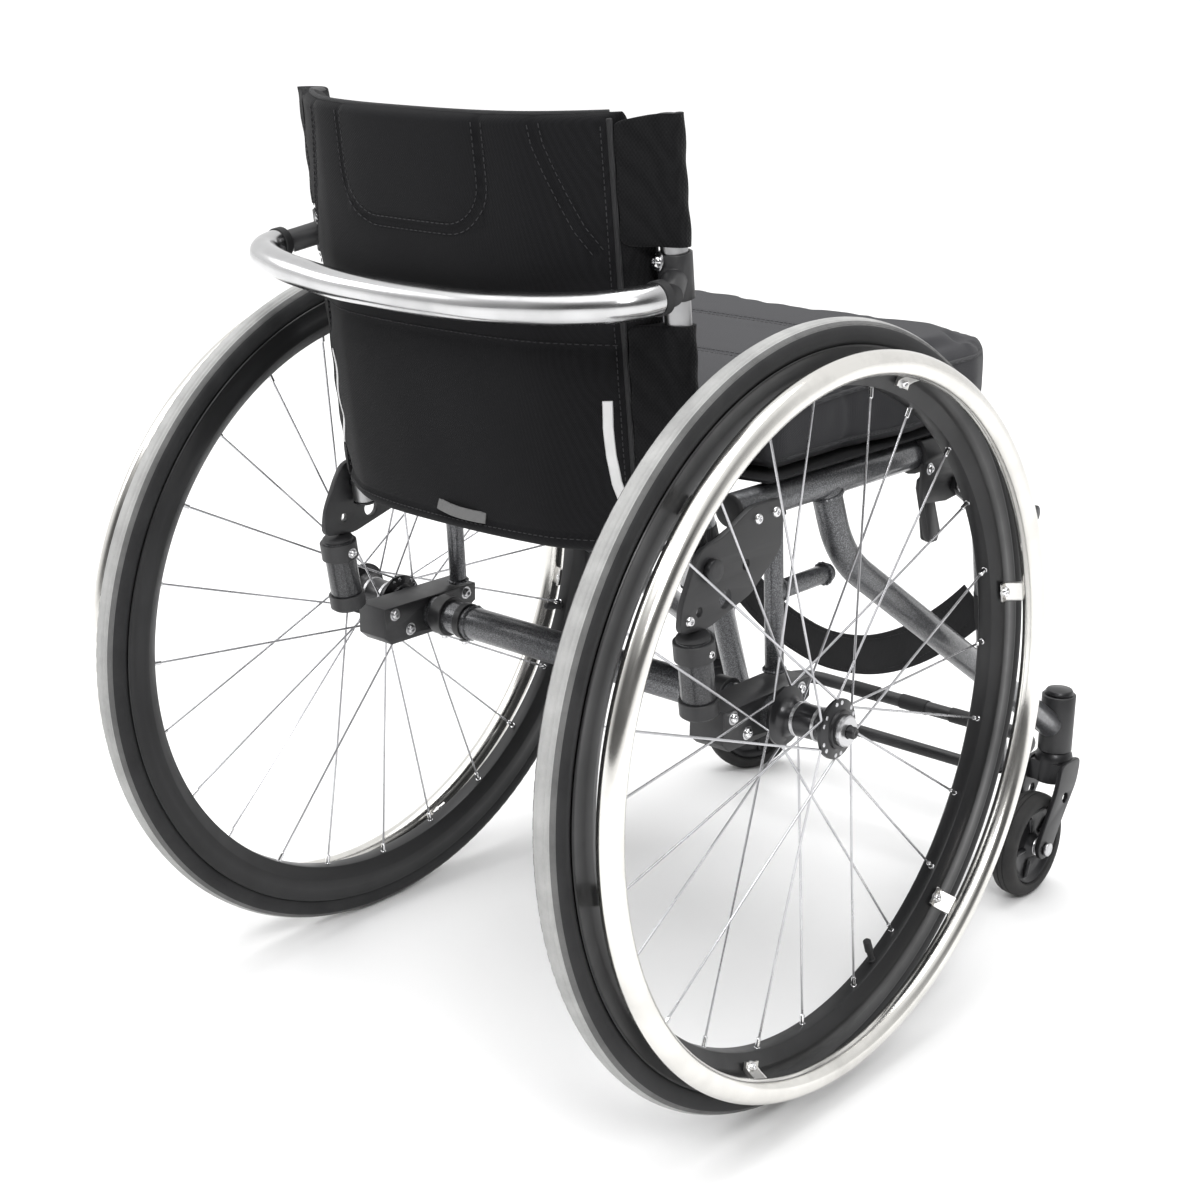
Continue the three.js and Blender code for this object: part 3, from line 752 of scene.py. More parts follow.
def axle(side, matrix):
    """Quick-release axle: its head outside the hub and the pin through to the axle tube."""
    pin = lathe("axle_pin_looks_" + side, [
        (-66, 0.01), (-66, 4.6), (-64.6, 6.1), (29.7, 6.1), (29.7, 11.2), (30.3, 11.9), (33.0, 11.9),
        (34.0, 10.9), (34.0, 5.4), (28.5, 5.3), (28.5, 0.01),
    ], matrix, STEEL, 48)
    knob = lathe("axle_button_looks_" + side, [
        (32, 0.01), (32, 4.7), (38.6, 4.7), (39.7, 4.0), (40.0, 2.4), (39.4, 1.2), (39.3, 0.01),
    ], matrix, BLACK_ALLOY, 40)
    place(pin, "frame", "steel", "axle_pin_" + side)
    place(knob, "button_" + side, "steel", "axle_button_" + side)


VALVE_ANGLE = {"left": math.radians(196), "right": math.radians(-68)}

for side, s in SIDES:
    spin = wheel_matrix(side, s)
    body = "wheel_" + side
    place(tyre(side, spin), body, "tyre", "tyre_" + side)
    place(knobs(side, spin), body, "tyre")
    place(rim(side, spin), body, "black_alloy", "rim_" + side)
    wires, nipples = spokes(side, spin)
    place(hub(side, spin), body, "black_alloy", "hub_" + side)
    place(wires, body, "steel", "hub_" + side)
    place(nipples, body, "steel")
    place(pushrim(side, spin), body, "silver_alloy", "pushrim_" + side)
    place(valve(side, spin, VALVE_ANGLE[side]), body, "black_paint")
    axle(side, spin)

# ------------------------------------------------------------------ welded frame

RAIL_X, RAIL_Z, RAIL_R = 171.5, 457, 12.5
RAIL_FRONT, RAIL_REAR = -296, 28
KNEE_Y = -330
LEG_FOOT = (152, -432, 112)
AXLE_Z = AXLE.z / MM - 1.4


def keep(node, material, bevel):
    """A CAD node that stays: its new material, and a small bevel on its sharp edges."""
    obj = frame["nodes"][node]
    obj.data.materials.clear()
    obj.data.materials.append(material)
    for polygon in obj.data.polygons:
        polygon.use_smooth = True
    weld = obj.modifiers.new("weld", "WELD")
    weld.merge_threshold = 0.00001
    edge = obj.modifiers.new("edges", "BEVEL")
    edge.width = bevel * MM
    edge.segments = 2
    edge.limit_method = "ANGLE"
    edge.angle_limit = math.radians(38)
    edge.harden_normals = True


def end_cap(point, direction, radius):
    """Black plastic plug in the end of an open tube."""
    return lathe("cap", [
        (-2, radius - 1.6), (0.05, radius - 1.5), (0.1, radius + 0.2), (1.2, radius + 0.2),
        (2.4, radius - 1.0), (3.0, radius - 3.5), (3.1, 0.01), (-2, 0.01),
    ], facing(point, direction), PLASTIC, 40)


def band(centre, direction, radius, width, material, thick=1.6):
    """A clamp band round a tube, with rounded edges."""
    half = width / 2
    outer = radius + thick
    return lathe("band", mirrored([
        (-half, radius + 0.1), (-half, outer - 0.5), (-half + 0.5, outer),
    ]), facing(centre, direction), material, 56)


def ring_bead(centre, direction, radius):
    """A rippled weld ring round a tube."""
    direction = direction.normalized()
    side = direction.orthogonal().normalized()
    other = direction.cross(side)
    count = 64
    path = [
        centre + (side * math.cos(2 * math.pi * k / count) + other * math.sin(2 * math.pi * k / count))
        * radius * MM for k in range(count + 1)
    ]

    def section(t):
        return ring_section(1.5 + 0.25 * math.sin(t * 2 * math.pi * 16), 8)

    return sweep("bead", path, section, FRAME_PAINT, caps=False)


def seat_rail(side, s):
    front, rear = at(s * RAIL_X, RAIL_FRONT, RAIL_Z), at(s * RAIL_X, RAIL_REAR, RAIL_Z)
    rail = rod(front, rear, RAIL_R, FRAME_PAINT, 40)
    cap = end_cap(rear, Vector((0, 1, 0)), RAIL_R)
    place(join("seat_rail_looks_" + side, [rail, cap]), "frame", "frame_paint", "seat_rail_" + side)


def front_leg(side, s):
    """The rail carried on over the knee and down to the footrest, with a band where it starts."""
    front, knee = at(s * RAIL_X, RAIL_FRONT, RAIL_Z), at(s * RAIL_X, KNEE_Y, RAIL_Z)
    foot_x, foot_y, foot_z = LEG_FOOT
    path = rounded([front, knee, at(s * foot_x, foot_y, foot_z)], 30 * MM, 10)
    leg = tube(path, RAIL_R, FRAME_PAINT, 40)
    parts = [leg, end_cap(path[-1], path[-1] - path[-2], RAIL_R)]
    start = path[0] + Vector((0, -1.5, 0)) * MM
    parts.append(band(start, Vector((0, 1, 0)), RAIL_R, 9, BLACK_PAINT, 0.9))
    place(join("front_leg_looks_" + side, parts), "frame", "frame_paint", "front_leg_" + side)


def caster_strut(side, s):
    """The tube from under the rail, forwards and outwards to the caster housing."""
    shoulder = at(s * 175, -114, 392)
    path = rounded([at(s * RAIL_X, -92, RAIL_Z), shoulder, at(s * 200, -458, 153)], 34 * MM, 10)
    along = (path[-1] - path[-2]).normalized()
    path[-1] = path[-1] - along * 14 * MM
    strut = tube(path, 12, FRAME_PAINT, 40)
    bead = ring_bead(at(s * 171.9, -95.5, 446.5), path[0] - shoulder, 12.6)
    place(join("caster_strut_looks_" + side, [strut, bead]), "frame", "frame_paint",
          "caster_strut_" + side)


def upright_tube(side, s):
    """The tube from the rail down to the axle carrier, and the short one across to the strut."""
    top, low = at(s * RAIL_X, -26, RAIL_Z - 8), at(s * RAIL_X, -36, 315.6)
    post = rod(top, low, 7.5, FRAME_PAINT)
    gusset = rod(at(s * RAIL_X, -30, 381), at(s * RAIL_X, -104, 381), 7.5, FRAME_PAINT)
    beads = [
        ring_bead(at(s * RAIL_X, -26.8, 444.6), top - low, 8.0),
        ring_bead(low + (top - low).normalized() * 2 * MM, top - low, 8.0),
        ring_bead(at(s * RAIL_X, -39, 381), Vector((0, 1, 0)), 7.9),
        ring_bead(at(s * RAIL_X, -97, 381), Vector((0, 1, 0)), 8.2),
    ]
    place(join("upright_looks_" + side, [post, gusset, *beads]), "frame", "frame_paint",
          "upright_tube_" + side)


def rear_post(side, s):
    """The short capped post under the hinge, with two bands and a bolt on each side."""
    top, low = at(s * 188, 89, 378), at(s * 188, 78.5, 316)
    axis = top - low
    parts = [rod(top, low, 13, POST_PAINT, 40)]
    parts.append(band(top - axis.normalized() * 9 * MM, axis, 13, 15, BLACK_PAINT, 2.4))
    parts.append(end_cap(top, axis, 12.6))
    parts.append(band(low + axis.normalized() * 8 * MM, axis, 13, 12, BLACK_PAINT, 2.0))
    parts.append(side_bolt(s, 201.8, 86.5, 368, 3.2, 2.6))
    parts.append(side_bolt(s, 172.6, 86.5, 368, 3.2, 2.6, inwards=True))
    place(join("rear_post_looks_" + side, parts), "frame", "frame_paint", "rear_post_" + side)


def hinge_bracket(side, s):
    """The bolted plate that carries the backrest's hinge pin."""
    outline = [
        (-14, 462), (24, 462), (60, 446), (84, 442), (92, 430), (104, 404), (106, 384), (74, 381),
        (22, 396), (-14, 424),
    ]
    holes = [(54, 399, 7), (73, 425, 4.5), (30, 420, 4), (84, 396, 3.4)]
    parts = [plate("plate", outline, s * 184.3, s * 189.3, BLACK_PAINT, holes, 0.8, 7)]
    for y, z in ((-4, 453), (18, 452), (96, 392)):
        parts.append(side_bolt(s, 189.2, y, z, 4.4, 3.0))
    place(join("hinge_bracket_looks_" + side, parts), "frame", "black_paint", "hinge_bracket_" + side)


for side, s in SIDES:
    for build in (
        seat_rail, front_leg, caster_strut, upright_tube, rear_post, hinge_bracket,
    ):
        build(side, s)
    for node, finish, bevel in (
        ("caster_housing_", BLACK_PAINT, 0.8), ("axle_carrier_", BLACK_PAINT, 1.0),
        ("hinge_pin_", BLACK_ALLOY, 0.7), ("lock_clamp_", BLACK_PAINT, 0.6),
        ("lock_lever_", BLACK_PAINT, 0.8), ("lock_shoe_", BLACK_ALLOY, 0.6),
        ("bar_clamp_", BLACK_PAINT, 0.6),
    ):
        keep(node + side, finish, bevel)

# ------------------------------------------------------------------ axle tube and its fittings


def axle_tube():
    """The tube between the wheels, with its clamps, their bolts and a weld ring at each end."""
    half = 202
    profile = mirrored([(-half, 7.7), (-half, 13.2), (-half + 0.8, 14)])
    shell = lathe("shell", profile, Matrix.Translation(at(0, 0, AXLE_Z)), FRAME_PAINT, 56)
    parts = [shell]
    for s in (-1, 1):
        for x, width, thick in ((150, 13, 3.2), (126, 7, 1.8)):
            centre = at(s * x, 0, AXLE_Z)
            parts.append(band(centre, Vector((1, 0, 0)), 14, width, BLACK_PAINT, thick))
        for x in (150, 126):
            parts.append(hex_bolt(at(s * x, 3, AXLE_Z - 17.2), Vector((0, 0.15, -1)), 3.6, 3.0))
        parts.append(ring_bead(at(s * 118, 0, AXLE_Z), Vector((1, 0, 0)), 14.2))
    place(join("axle_tube_looks", parts), "frame", "frame_paint", "axle_tube")


axle_tube()

for side, s in SIDES:
    bolts = []
    for y, z in ((-38, 307), (48, 307), (30, 290)):
        bolts.append(side_bolt(s, 196, y, z, 4.2, 2.8))
        bolts.append(side_bolt(s, 164, y, z, 4.2, 3.2, inwards=True, material=STEEL))
    place(join("carrier_bolts_" + side, bolts), "frame", "steel")

cross = rod(at(-158.4, -268, RAIL_Z), at(158.4, -268, RAIL_Z), 10, FRAME_PAINT, 36)
cross_beads = [ring_bead(at(s * 157, -268, RAIL_Z), Vector((1, 0, 0)), 10.4) for s in (-1, 1)]
place(join("cross_tube_looks", [cross, *cross_beads]), "frame", "frame_paint", "cross_tube")

# ------------------------------------------------------------------ casters

CASTER_TRAIL, CASTER_R = 40, 50


def caster_matrix(side):
    """Frame of the caster: origin on the stem at the ground, Y trailing, Z up."""
    stem = Vector(JOINTS["caster_swivel_" + side]["pos_m"])
    wheel = Vector(JOINTS["caster_spin_" + side]["pos_m"])
    trail = Vector((wheel.x - stem.x, wheel.y - stem.y, 0)).normalized()
    across = trail.cross(Vector((0, 0, 1)))
    turn = Matrix((across, trail, Vector((0, 0, 1)))).transposed().to_4x4()
    return Matrix.Translation(Vector((stem.x, stem.y, 0))) @ turn


def fork(side, matrix):
    """Caster fork: two swept cheeks, a bridge and a round crown."""
    parts = []
    outline = [
        (-16, 127), (-12, 104), (18, 62), (31, 41), (47, 40), (54, 51), (49, 63), (24, 104), (18, 127),
    ]
    holes = [(CASTER_TRAIL, CASTER_R, 4.3), (9, 92, 5)]
    for k in (-1, 1):
        cheek = plate("cheek", outline, k * 15.5, k * 20, BLACK_ALLOY, holes, 0.9, 8)
        cheek.data.transform(matrix @ Matrix.Translation(Vector((0, -AXLE.y, 0))))
        parts.append(cheek)
    upright = matrix @ Matrix.Rotation(-math.pi / 2, 4, "Y")
    parts.append(lathe("crown", [
        (104, 0.01), (104, 17.2), (105, 18), (126, 17.8), (131, 16.6), (133.4, 14.5), (133.6, 0.01),
    ], upright, BLACK_ALLOY, 56))
    bridge = []
    for x in (-19.6, -18.4, 18.4, 19.6):
        inset = 1.2 if abs(x) > 19 else 0
        bridge.append([(x, y, z) for y, z in (
            (-13 + inset, 105.6 + inset), (17 - inset, 105.6 + inset), (17 - inset, 125 - inset),
            (-13 + inset, 125 - inset))])
    vertices = [matrix @ (Vector(p) * MM) for ring in bridge for p in ring]
    parts.append(solid("bridge", vertices, capped_grid(4, 4), BLACK_ALLOY))
    return join("caster_fork_looks_" + side, parts)


def caster_wheel(side, matrix):
    """The caster's grooved tyre, and its ribbed rim with a seal on each side."""
    centre = matrix @ Matrix.Translation(Vector((0, CASTER_TRAIL, CASTER_R)) * MM)
    tyre_shape = mirrored([
        (-9, 37.1), (-11.2, 38.4), (-12, 41), (-11.9, 44), (-11, 46.4), (-9.2, 48.2), (-6.4, 49.4),
        (-3.2, 49.9), (-2.9, 49.3), (-2.3, 49.3), (-2.0, 50),
    ])
    ring = lathe("caster_tyre_looks_" + side, tyre_shape, centre, CASTER_RUBBER, 120)
    rim_shape = mirrored([
        (-11, 4.5), (-11, 9.3), (-10.3, 10), (-6.4, 13), (-5, 15), (-4.6, 28), (-5.4, 31),
        (-8.4, 35.2), (-9.6, 36), (-9, 36.9),
    ])
    parts = [lathe("rim", rim_shape, centre, BLACK_ALLOY, 96)]
    for k in range(5):
        a = 2 * math.pi * k / 5
        for face in (-1, 1):
            inner = centre @ around(15.5, a, face * 6.0)
            outer = centre @ around(31.5, a, face * 6.0)
            parts.append(rod(inner, outer, 2.4, BLACK_ALLOY, 14))
    for face in (-1, 1):
        parts.append(lathe("seal", [
            (face * 11.0, 5.2), (face * 11.6, 5.4), (face * 11.6, 8.6), (face * 11.0, 8.9),
        ], centre, STEEL, 40))
    return ring, join("caster_rim_looks_" + side, parts)


for side, s in SIDES:
    turn = caster_matrix(side)
    place(fork(side, turn), "caster_" + side, "black_alloy", "caster_fork_" + side)
    ring, hub_part = caster_wheel(side, turn)
    place(ring, "caster_wheel_" + side, "caster_rubber", "caster_tyre_" + side)
    place(hub_part, "caster_wheel_" + side, "black_alloy", "caster_rim_" + side)
    keep("caster_stem_" + side, BLACK_ALLOY, 0.6)
    keep("caster_axle_" + side, STEEL, 0.5)

# ------------------------------------------------------------------ footrest and calf strap


def footrest():
    """Foot support: a bent loop with grips on its front run, and a straight tube behind it."""
    z = 106.5
    path = rounded([
        at(150, -443.2, z), at(144, -533, z), at(-144, -533, z), at(-150, -443.2, z),
    ], 34 * MM, 12)
    loop = tube(path, 7, BLACK_PAINT, 32)
    parts = [loop]
    for s in (-1, 1):
        start = at(s * 149.4, -452, z)
        parts.append(band(start, at(s * 150, -443, z) - start, 7, 13, BLACK_ALLOY, 1.3))
    for x in (-60, 0, 60):
        parts.append(band(at(x, -533, z), Vector((1, 0, 0)), 7, 32, GRIP, 0.9))
    place(join("footrest_loop_looks", parts), "frame", "black_paint", "footrest_loop")
    bar = rod(at(-138.5, -432, 106), at(138.5, -432, 106), 6, BLACK_PAINT, 28)
    sleeves = [band(at(s * 130, -432, 106), Vector((1, 0, 0)), 6, 12, BLACK_ALLOY, 1.2)
               for s in (-1, 1)]
    place(join("footrest_tube_looks", [bar, *sleeves]), "frame", "black_paint", "footrest_tube")


def calf_strap():
    """Webbing hung between the front legs, with hemmed edges, stitch rows and looped ends."""
    points = []
    for i in range(-48, 49):
        u = i / 48
        points.append(at(151 * u, -377 - 4 * (1 - u * u), 288 - 84 * (1 - u * u)))

    def section(t):
        ripple = 0.5 * math.sin(t * 2 * math.pi * 5)
        return [(-1.2 + ripple, -19), (0 + ripple, -19.4), (1.2 + ripple, -19), (1.3 + ripple, 0),
                (1.2 + ripple, 19), (0 + ripple, 19.4), (-1.2 + ripple, 19), (-1.3 + ripple, 0)]

    strap = sweep("strap", points, section, WEBBING)
    rows = []
    for offset in (-16, 16):
        for i in range(2, 92):
            start, end = points[i], points[i + 1]
            lift = Vector((0, 1.5, offset)) * MM
            a = start.lerp(end, 0.2) + lift
            b = start.lerp(end, 0.75) + lift
            rows.append(rod(a, b, 0.45, THREAD, 6))
    loops = []
    for s in (-1, 1):
        up_leg = at(s * RAIL_X, KNEE_Y, RAIL_Z) - at(s * LEG_FOOT[0], *LEG_FOOT[1:])
        loops.append(band(at(s * 163, -381.5, 283), up_leg, 12.6, 37, WEBBING, 1.6))
    sewing = join("calf_strap_stitches", rows)
    ends = join("calf_strap_loops", loops)
    strap.name = "calf_strap_looks"
    place(strap, "frame", "black_fabric", "calf_strap")
    place(sewing, "frame", "black_fabric")
    place(ends, "frame", "black_fabric")


footrest()
calf_strap()

# ------------------------------------------------------------------ backrest frame

CANE_X, CANE_DEPTH, CANE_R = 173, -7, 9.5
CANE_LOW, CANE_TOP = 411, 740
BAR_R = 11
BACK_LEAN = 0.13


def back_front(z):
    """The reclined plane from which the backrest's depth is measured."""
    return 80 + (z - 428) * BACK_LEAN


def cane_y(z):
    """Where the cane's axis is at a height."""
    return back_front(z) + CANE_DEPTH


def cane(side, s):
    """One of the two upright tubes of the back, with the bolts of the push bar's clamp."""
    path = [at(s * CANE_X, cane_y(z), z) for z in (CANE_LOW, 500, 600, CANE_TOP)]
    axis = path[-1] - path[0]
    parts = [
        tube(path, CANE_R, CANE_ALLOY, 40),
        end_cap(path[-1], axis, CANE_R), end_cap(path[0], -axis, CANE_R),
    ]
    place(join("back_cane_looks_" + side, parts), "backrest", "frame_paint", "back_cane_" + side)
    facing_back = Vector((-s * 0.4, 1, 0.1))
    bolts = [
        hex_bolt(at(s * (CANE_X - 5), cane_y(z) + 12.2, z), facing_back, head, height)
        for z, head, height in ((646, 4.8, 3.4), (626, 4.0, 3.0))
    ]
    place(join("bar_clamp_bolts_" + side, bolts), "backrest", "steel")


def push_bar():
    """The bar bent back from one cane's clamp to the other's, with a grip ring at each end."""
    bar = [(190, 134, 627), (188, 163, 624), (140, 180, 618), (70, 189, 613), (0, 191, 612)]
    half = [at(x, y, z) for x, y, z in bar]
    other = [at(-x, y, z) for x, y, z in reversed(bar[:-1])]
    path = rounded(half + other, 24 * MM, 14)
    parts = [tube(path, BAR_R, BAR_ALLOY, 48)]
    for end, inner in ((half[0], half[1]), (other[-1], other[-2])):
        along = inner - end
        parts.append(band(end + along.normalized() * 4 * MM, along, BAR_R, 7, GRIP, 1.0))
    place(join("push_bar_looks", parts), "backrest", "silver_alloy", "push_bar")


for side, s in SIDES:
    cane(side, s)
push_bar()

# ------------------------------------------------------------------ back upholstery

OUTER = [(0, 69), (50, 67), (95, 59), (120, 47), (140, 34), (155, 23), (168, 12), (179, 3)]
INNER = [(0, 49), (50, 47.5), (90, 41), (112, 30), (130, 17), (146, 3), (157, -6), (164, -12)]


def smooth_curve(points, x):
    """Cubic through (x, y) points, evaluated at x."""
    xs = [p[0] for p in points]
    ys = [p[1] for p in points]
    slopes = []
    for i in range(len(xs)):
        a, b = max(i - 1, 0), min(i + 1, len(xs) - 1)
        slopes.append((ys[b] - ys[a]) / (xs[b] - xs[a]))
    slopes[0] = 0
    x = min(max(abs(x), xs[0]), xs[-1])
    i = max(k for k in range(len(xs) - 1) if xs[k] <= x)
    span = xs[i + 1] - xs[i]
    t = (x - xs[i]) / span
    return (
        ys[i] * (1 + 2 * t) * (1 - t) ** 2 + slopes[i] * span * t * (1 - t) ** 2
        + ys[i + 1] * t * t * (3 - 2 * t) + slopes[i + 1] * span * t * t * (t - 1)
    )


def waves(x, z):
    """Repeatable waviness between -1 and 1 from a few slow sines."""
    return (
        math.sin(x * 0.031 + 1.7 * math.sin(z * 0.021)) * 0.5
        + math.sin(z * 0.043 + x * 0.017 + 2.1) * 0.3
        + math.sin(x * 0.071 - z * 0.052 + 0.6) * 0.2
    )


def distance_to_line(x, z, line):
    """Shortest distance from (x, z) to a polyline, in mm."""
    best = 1e9
    for (x0, z0), (x1, z1) in zip(line, line[1:]):
        dx, dz = x1 - x0, z1 - z0
        t = max(0.0, min(1.0, ((x - x0) * dx + (z - z0) * dz) / (dx * dx + dz * dz)))
        best = min(best, math.hypot(x - x0 - t * dx, z - z0 - t * dz))
    return best


def arc(cx, cz, radius, start, end, steps=10):
    return [
        (cx + radius * math.cos(math.radians(start + (end - start) * k / steps)),
         cz + radius * math.sin(math.radians(start + (end - start) * k / steps)))
        for k in range(steps + 1)
    ]


PANEL_SEAM = [(68, 745), *arc(34, 695, 34, 0, -90), *arc(-34, 695, 34, -90, -180), (-68, 745)]
SIDE_SEAMS = [
    [(s * 107, 745), (s * 110, 722), (s * 116, 704), (s * 123, 686), (s * 131, 667), (s * 141, 651)]
    for s in (1, -1)
]
BAND_SEAM = [(-152, 585), (152, 585)]
HEM_SEAM = [(-150, 449), (150, 449)]
BACK_SEAMS = [PANEL_SEAM, *SIDE_SEAMS, BAND_SEAM, HEM_SEAM]


def seam_dip(x, z, seams, width=3.2, depth=1.9):
    """How deep stitched seams pull the cloth in at a point."""
    dip = 0.0
    for line in seams:
        d = distance_to_line(x, z, line)
        dip = max(dip, depth * math.exp(-(d / width) ** 2))
        dip = max(dip, depth * 0.45 * math.exp(-(d / (width * 3.4)) ** 2))
    return dip


PANEL_HALF = 151.5


def panel_top(x):
    """Top edge of the rear panel: nearly level, with corners that rise a little."""
    return 740.5 + 3.5 * (abs(x) / 150) ** 3


def panel_bottom(x):
    return 436.5 - 2.0 * (abs(x) / 150) ** 2


def panel_point(x, z, face, lift=0.0):
    """A point on the rear (face 1) or front (face -1) of the back panel, in chair mm."""
    outer, inner = smooth_curve(OUTER, x), smooth_curve(INNER, x)
    middle = (outer + inner) / 2
    half = (outer - inner) / 2
    slope = (smooth_curve(OUTER, abs(x) + 1) - smooth_curve(OUTER, max(abs(x) - 1, 0))) / 2
    slope = slope if x >= 0 else -slope
    length = math.hypot(1, slope)
    return (
        x + face * lift * (-slope / length),
        back_front(z) + middle + face * (half + lift / length),
        z,
    )


def panel_lift(x, z, face):
    """Padding, seams and slack of the panel's cloth, outwards in mm."""
    if face > 0:
        inside = abs(x) < 66 and z > 664
        crown = 1.7 if inside else 0.6
        lift = crown * (1 - (x / 150) ** 4) + 0.9 * waves(x, z)
        lift += 0.7 * math.sin(z * 0.11 + x * 0.012) * math.exp(-((z - 612) / 30) ** 2)
        lift += 1.0 * math.exp(-((z - 500) / 60) ** 2) * math.cos(x * 0.02)
        tug = math.exp(-((abs(x) - 146) / 16) ** 2)
        lift += 0.9 * tug * math.sin(z * 0.16 + (1 if x > 0 else 0)) * (0.4 + 0.6 * (z < 600))
        return lift - seam_dip(x, z, BACK_SEAMS)
    grid = [[(-150, 650), (150, 650)], [(-150, 560), (150, 560)]]
    return 1.2 * (1 - (x / 150) ** 4) + 0.7 * waves(x + 90, z) - seam_dip(x, z, grid)


def back_panel():
    """The padded rear panel as one closed surface, rounded over at its edges."""
    columns, rows = 150, 170
    edge = 8.0
    vertices = []

    def rim_scale(distance):
        """Half thickness left near an edge: a quarter circle over the last edge mm."""
        if distance >= edge:
            return 1.0
        return math.sqrt(max(0.0, 1 - (1 - distance / edge) ** 2))

    def sample(t):
        """Spreads samples of 0..1 towards both ends."""
        return 0.5 - 0.5 * math.cos(math.pi * t)

    for i in range(rows + 1):
        v = sample(i / rows)
        for face in (1, -1):
            for j in range(columns + 1):
                u = sample(j / columns)
                x = PANEL_HALF * (2 * u - 1) * face * -1
                low, high = panel_bottom(x), panel_top(x)
                z = low + (high - low) * v
                scale = rim_scale(min(z - low, high - z)) * rim_scale(PANEL_HALF - abs(x))
                outer = Vector(panel_point(x, z, 1, panel_lift(x, z, 1)))
                inner = Vector(panel_point(x, z, -1, panel_lift(x, z, -1)))
                middle = (outer + inner) / 2
                point = middle + ((outer if face > 0 else inner) - middle) * scale
                vertices.append(at(*point))
    return solid("back_panel", vertices, grid_faces(rows + 1, 2 * (columns + 1)), BACK_CLOTH, 60)


def wing(side, s, low, high, name):
    """A padded sleeve from the rear panel round the cane, between two heights."""
    loop = []
    for x in (150.5, 154, 158, 162, 166, 170):
        loop.append((x, smooth_curve(OUTER, x) - 1.2))
    for k in range(0, 13):
        a = math.radians(62 - 16.5 * k)
        loop.append((CANE_X + 12.2 * math.cos(a), CANE_DEPTH + 12.2 * math.sin(a)))
    for x in (157, 153.5, 150.5):
        loop.append((x, smooth_curve(INNER, x) + 1.0))
    rows = 60
    vertices = []
    for i in range(rows + 1):
        t = i / rows
        v = 0.5 - 0.5 * math.cos(math.pi * t)
        for k, (x, y) in enumerate(loop):
            top = high - (5.0 * (174 - min(x, 174)) / 24 if high > 700 else 0)    # a corner that rises
            z = low + (top - low) * v
            near = min(z - low, top - z)
            pinch = 1.0 if near > 5 else math.sqrt(max(0.0, 1 - (1 - near / 5) ** 2))
            pinch = 0.72 + 0.28 * pinch
            slack = 0.7 * waves(k * 14 + 40 * s, z * 1.3) + 0.5 * math.sin(z * 0.21 + k)
            dx, dy = x - CANE_X, y - CANE_DEPTH
            reach = math.hypot(dx, dy)
            grow = (reach * (1.0 if reach < 16 else pinch) + (slack if reach > 11.5 else 0)) / reach
            grow = max(grow, 10.2 / reach)
            vertices.append(at(s * (CANE_X + dx * grow), cane_y(z) + dy * grow, z))
    obj = solid(name + "_" + side, vertices, capped_grid(rows + 1, len(loop)), WING_CLOTH, 60)
    return soften(obj)


def notch_lining(side, s):
    """The cover carried on between the upper and lower wing, inside the cane and its clamp."""
    loop = [(146, 24), (150, 23.5), (154, 20), (157.6, 13), (159.6, 4), (160.1, -3), (159.2, -7.5),
            (156, -8.6), (151.5, -5.5), (147.5, 0), (145, 6), (144.6, 16)]
    rows = 24
    low, high = 597, 661
    vertices = []
    for i in range(rows + 1):
        z = low + (high - low) * i / rows
        for k, (x, y) in enumerate(loop):
            slack = 0.5 * math.sin(z * 0.24 + k * 0.9)
            vertices.append(at(s * (x - abs(slack) * 0.6), back_front(z) + y + slack * 0.5, z))
    obj = solid("notch_lining_" + side, vertices, capped_grid(rows + 1, len(loop)), WING_CLOTH, 60)
    place(obj, "backrest", "black_fabric", "back_pad")


def surface_line(line, lift, step):
    """Points along a polyline of (x, z) on the rear of the panel, evenly spaced, below its top."""
    points = []
    for (x0, z0), (x1, z1) in zip(line, line[1:]):
        count = max(1, int(math.hypot(x1 - x0, z1 - z0) / step))
        for k in range(count):
            t = k / count
            points.append((x0 + (x1 - x0) * t, z0 + (z1 - z0) * t))
    points.append(line[-1])
    points = [(x, z) for x, z in points if z < panel_top(x) - 3]
    return [at(*panel_point(x, z, 1, panel_lift(x, z, 1) + lift)) for x, z in points]


def back_stitches(lines, length=3.0, gap=1.3):
    """Rows of separate stitches along lines on the rear of the panel."""
    pieces = []
    for line in lines:
        path = surface_line(line, 0.5, length + gap)
        for start, end in zip(path, path[1:]):
            a = start.lerp(end, 0.12)
            b = start.lerp(end, 0.12 + 0.88 * length / (length + gap))
            pieces.append(rod(a, b, 0.38, THREAD, 6))
    place(join("back_stitches", pieces), "backrest", "black_fabric")


def offset_line(line, distance):
    """A polyline moved sideways by a distance."""
    result = []
    for i, (x, z) in enumerate(line):
        before = line[max(i - 1, 0)]
        after = line[min(i + 1, len(line) - 1)]
        dx, dz = after[0] - before[0], after[1] - before[1]
        length = math.hypot(dx, dz)
        result.append((x - dz / length * distance, z + dx / length * distance))
    return result


def flat_strap(name, path, normals, width, thick, material):
    """Webbing that follows a path, its flat side facing the given normals."""
    vertices = []
    half = width / 2
    section = [(-half, 0), (-half + 0.6, thick), (half - 0.6, thick), (half, 0), (half - 0.6, -0.2),
               (-half + 0.6, -0.2)]
    for i, point in enumerate(path):
        tangent = (path[min(i + 1, len(path) - 1)] - path[max(i - 1, 0)]).normalized()
        normal = (normals[i] - tangent * normals[i].dot(tangent)).normalized()
        side = tangent.cross(normal)
        for a, b in section:
            vertices.append(point + side * a * MM + normal * b * MM)
    return solid(name, vertices, capped_grid(len(path), len(section)), material)


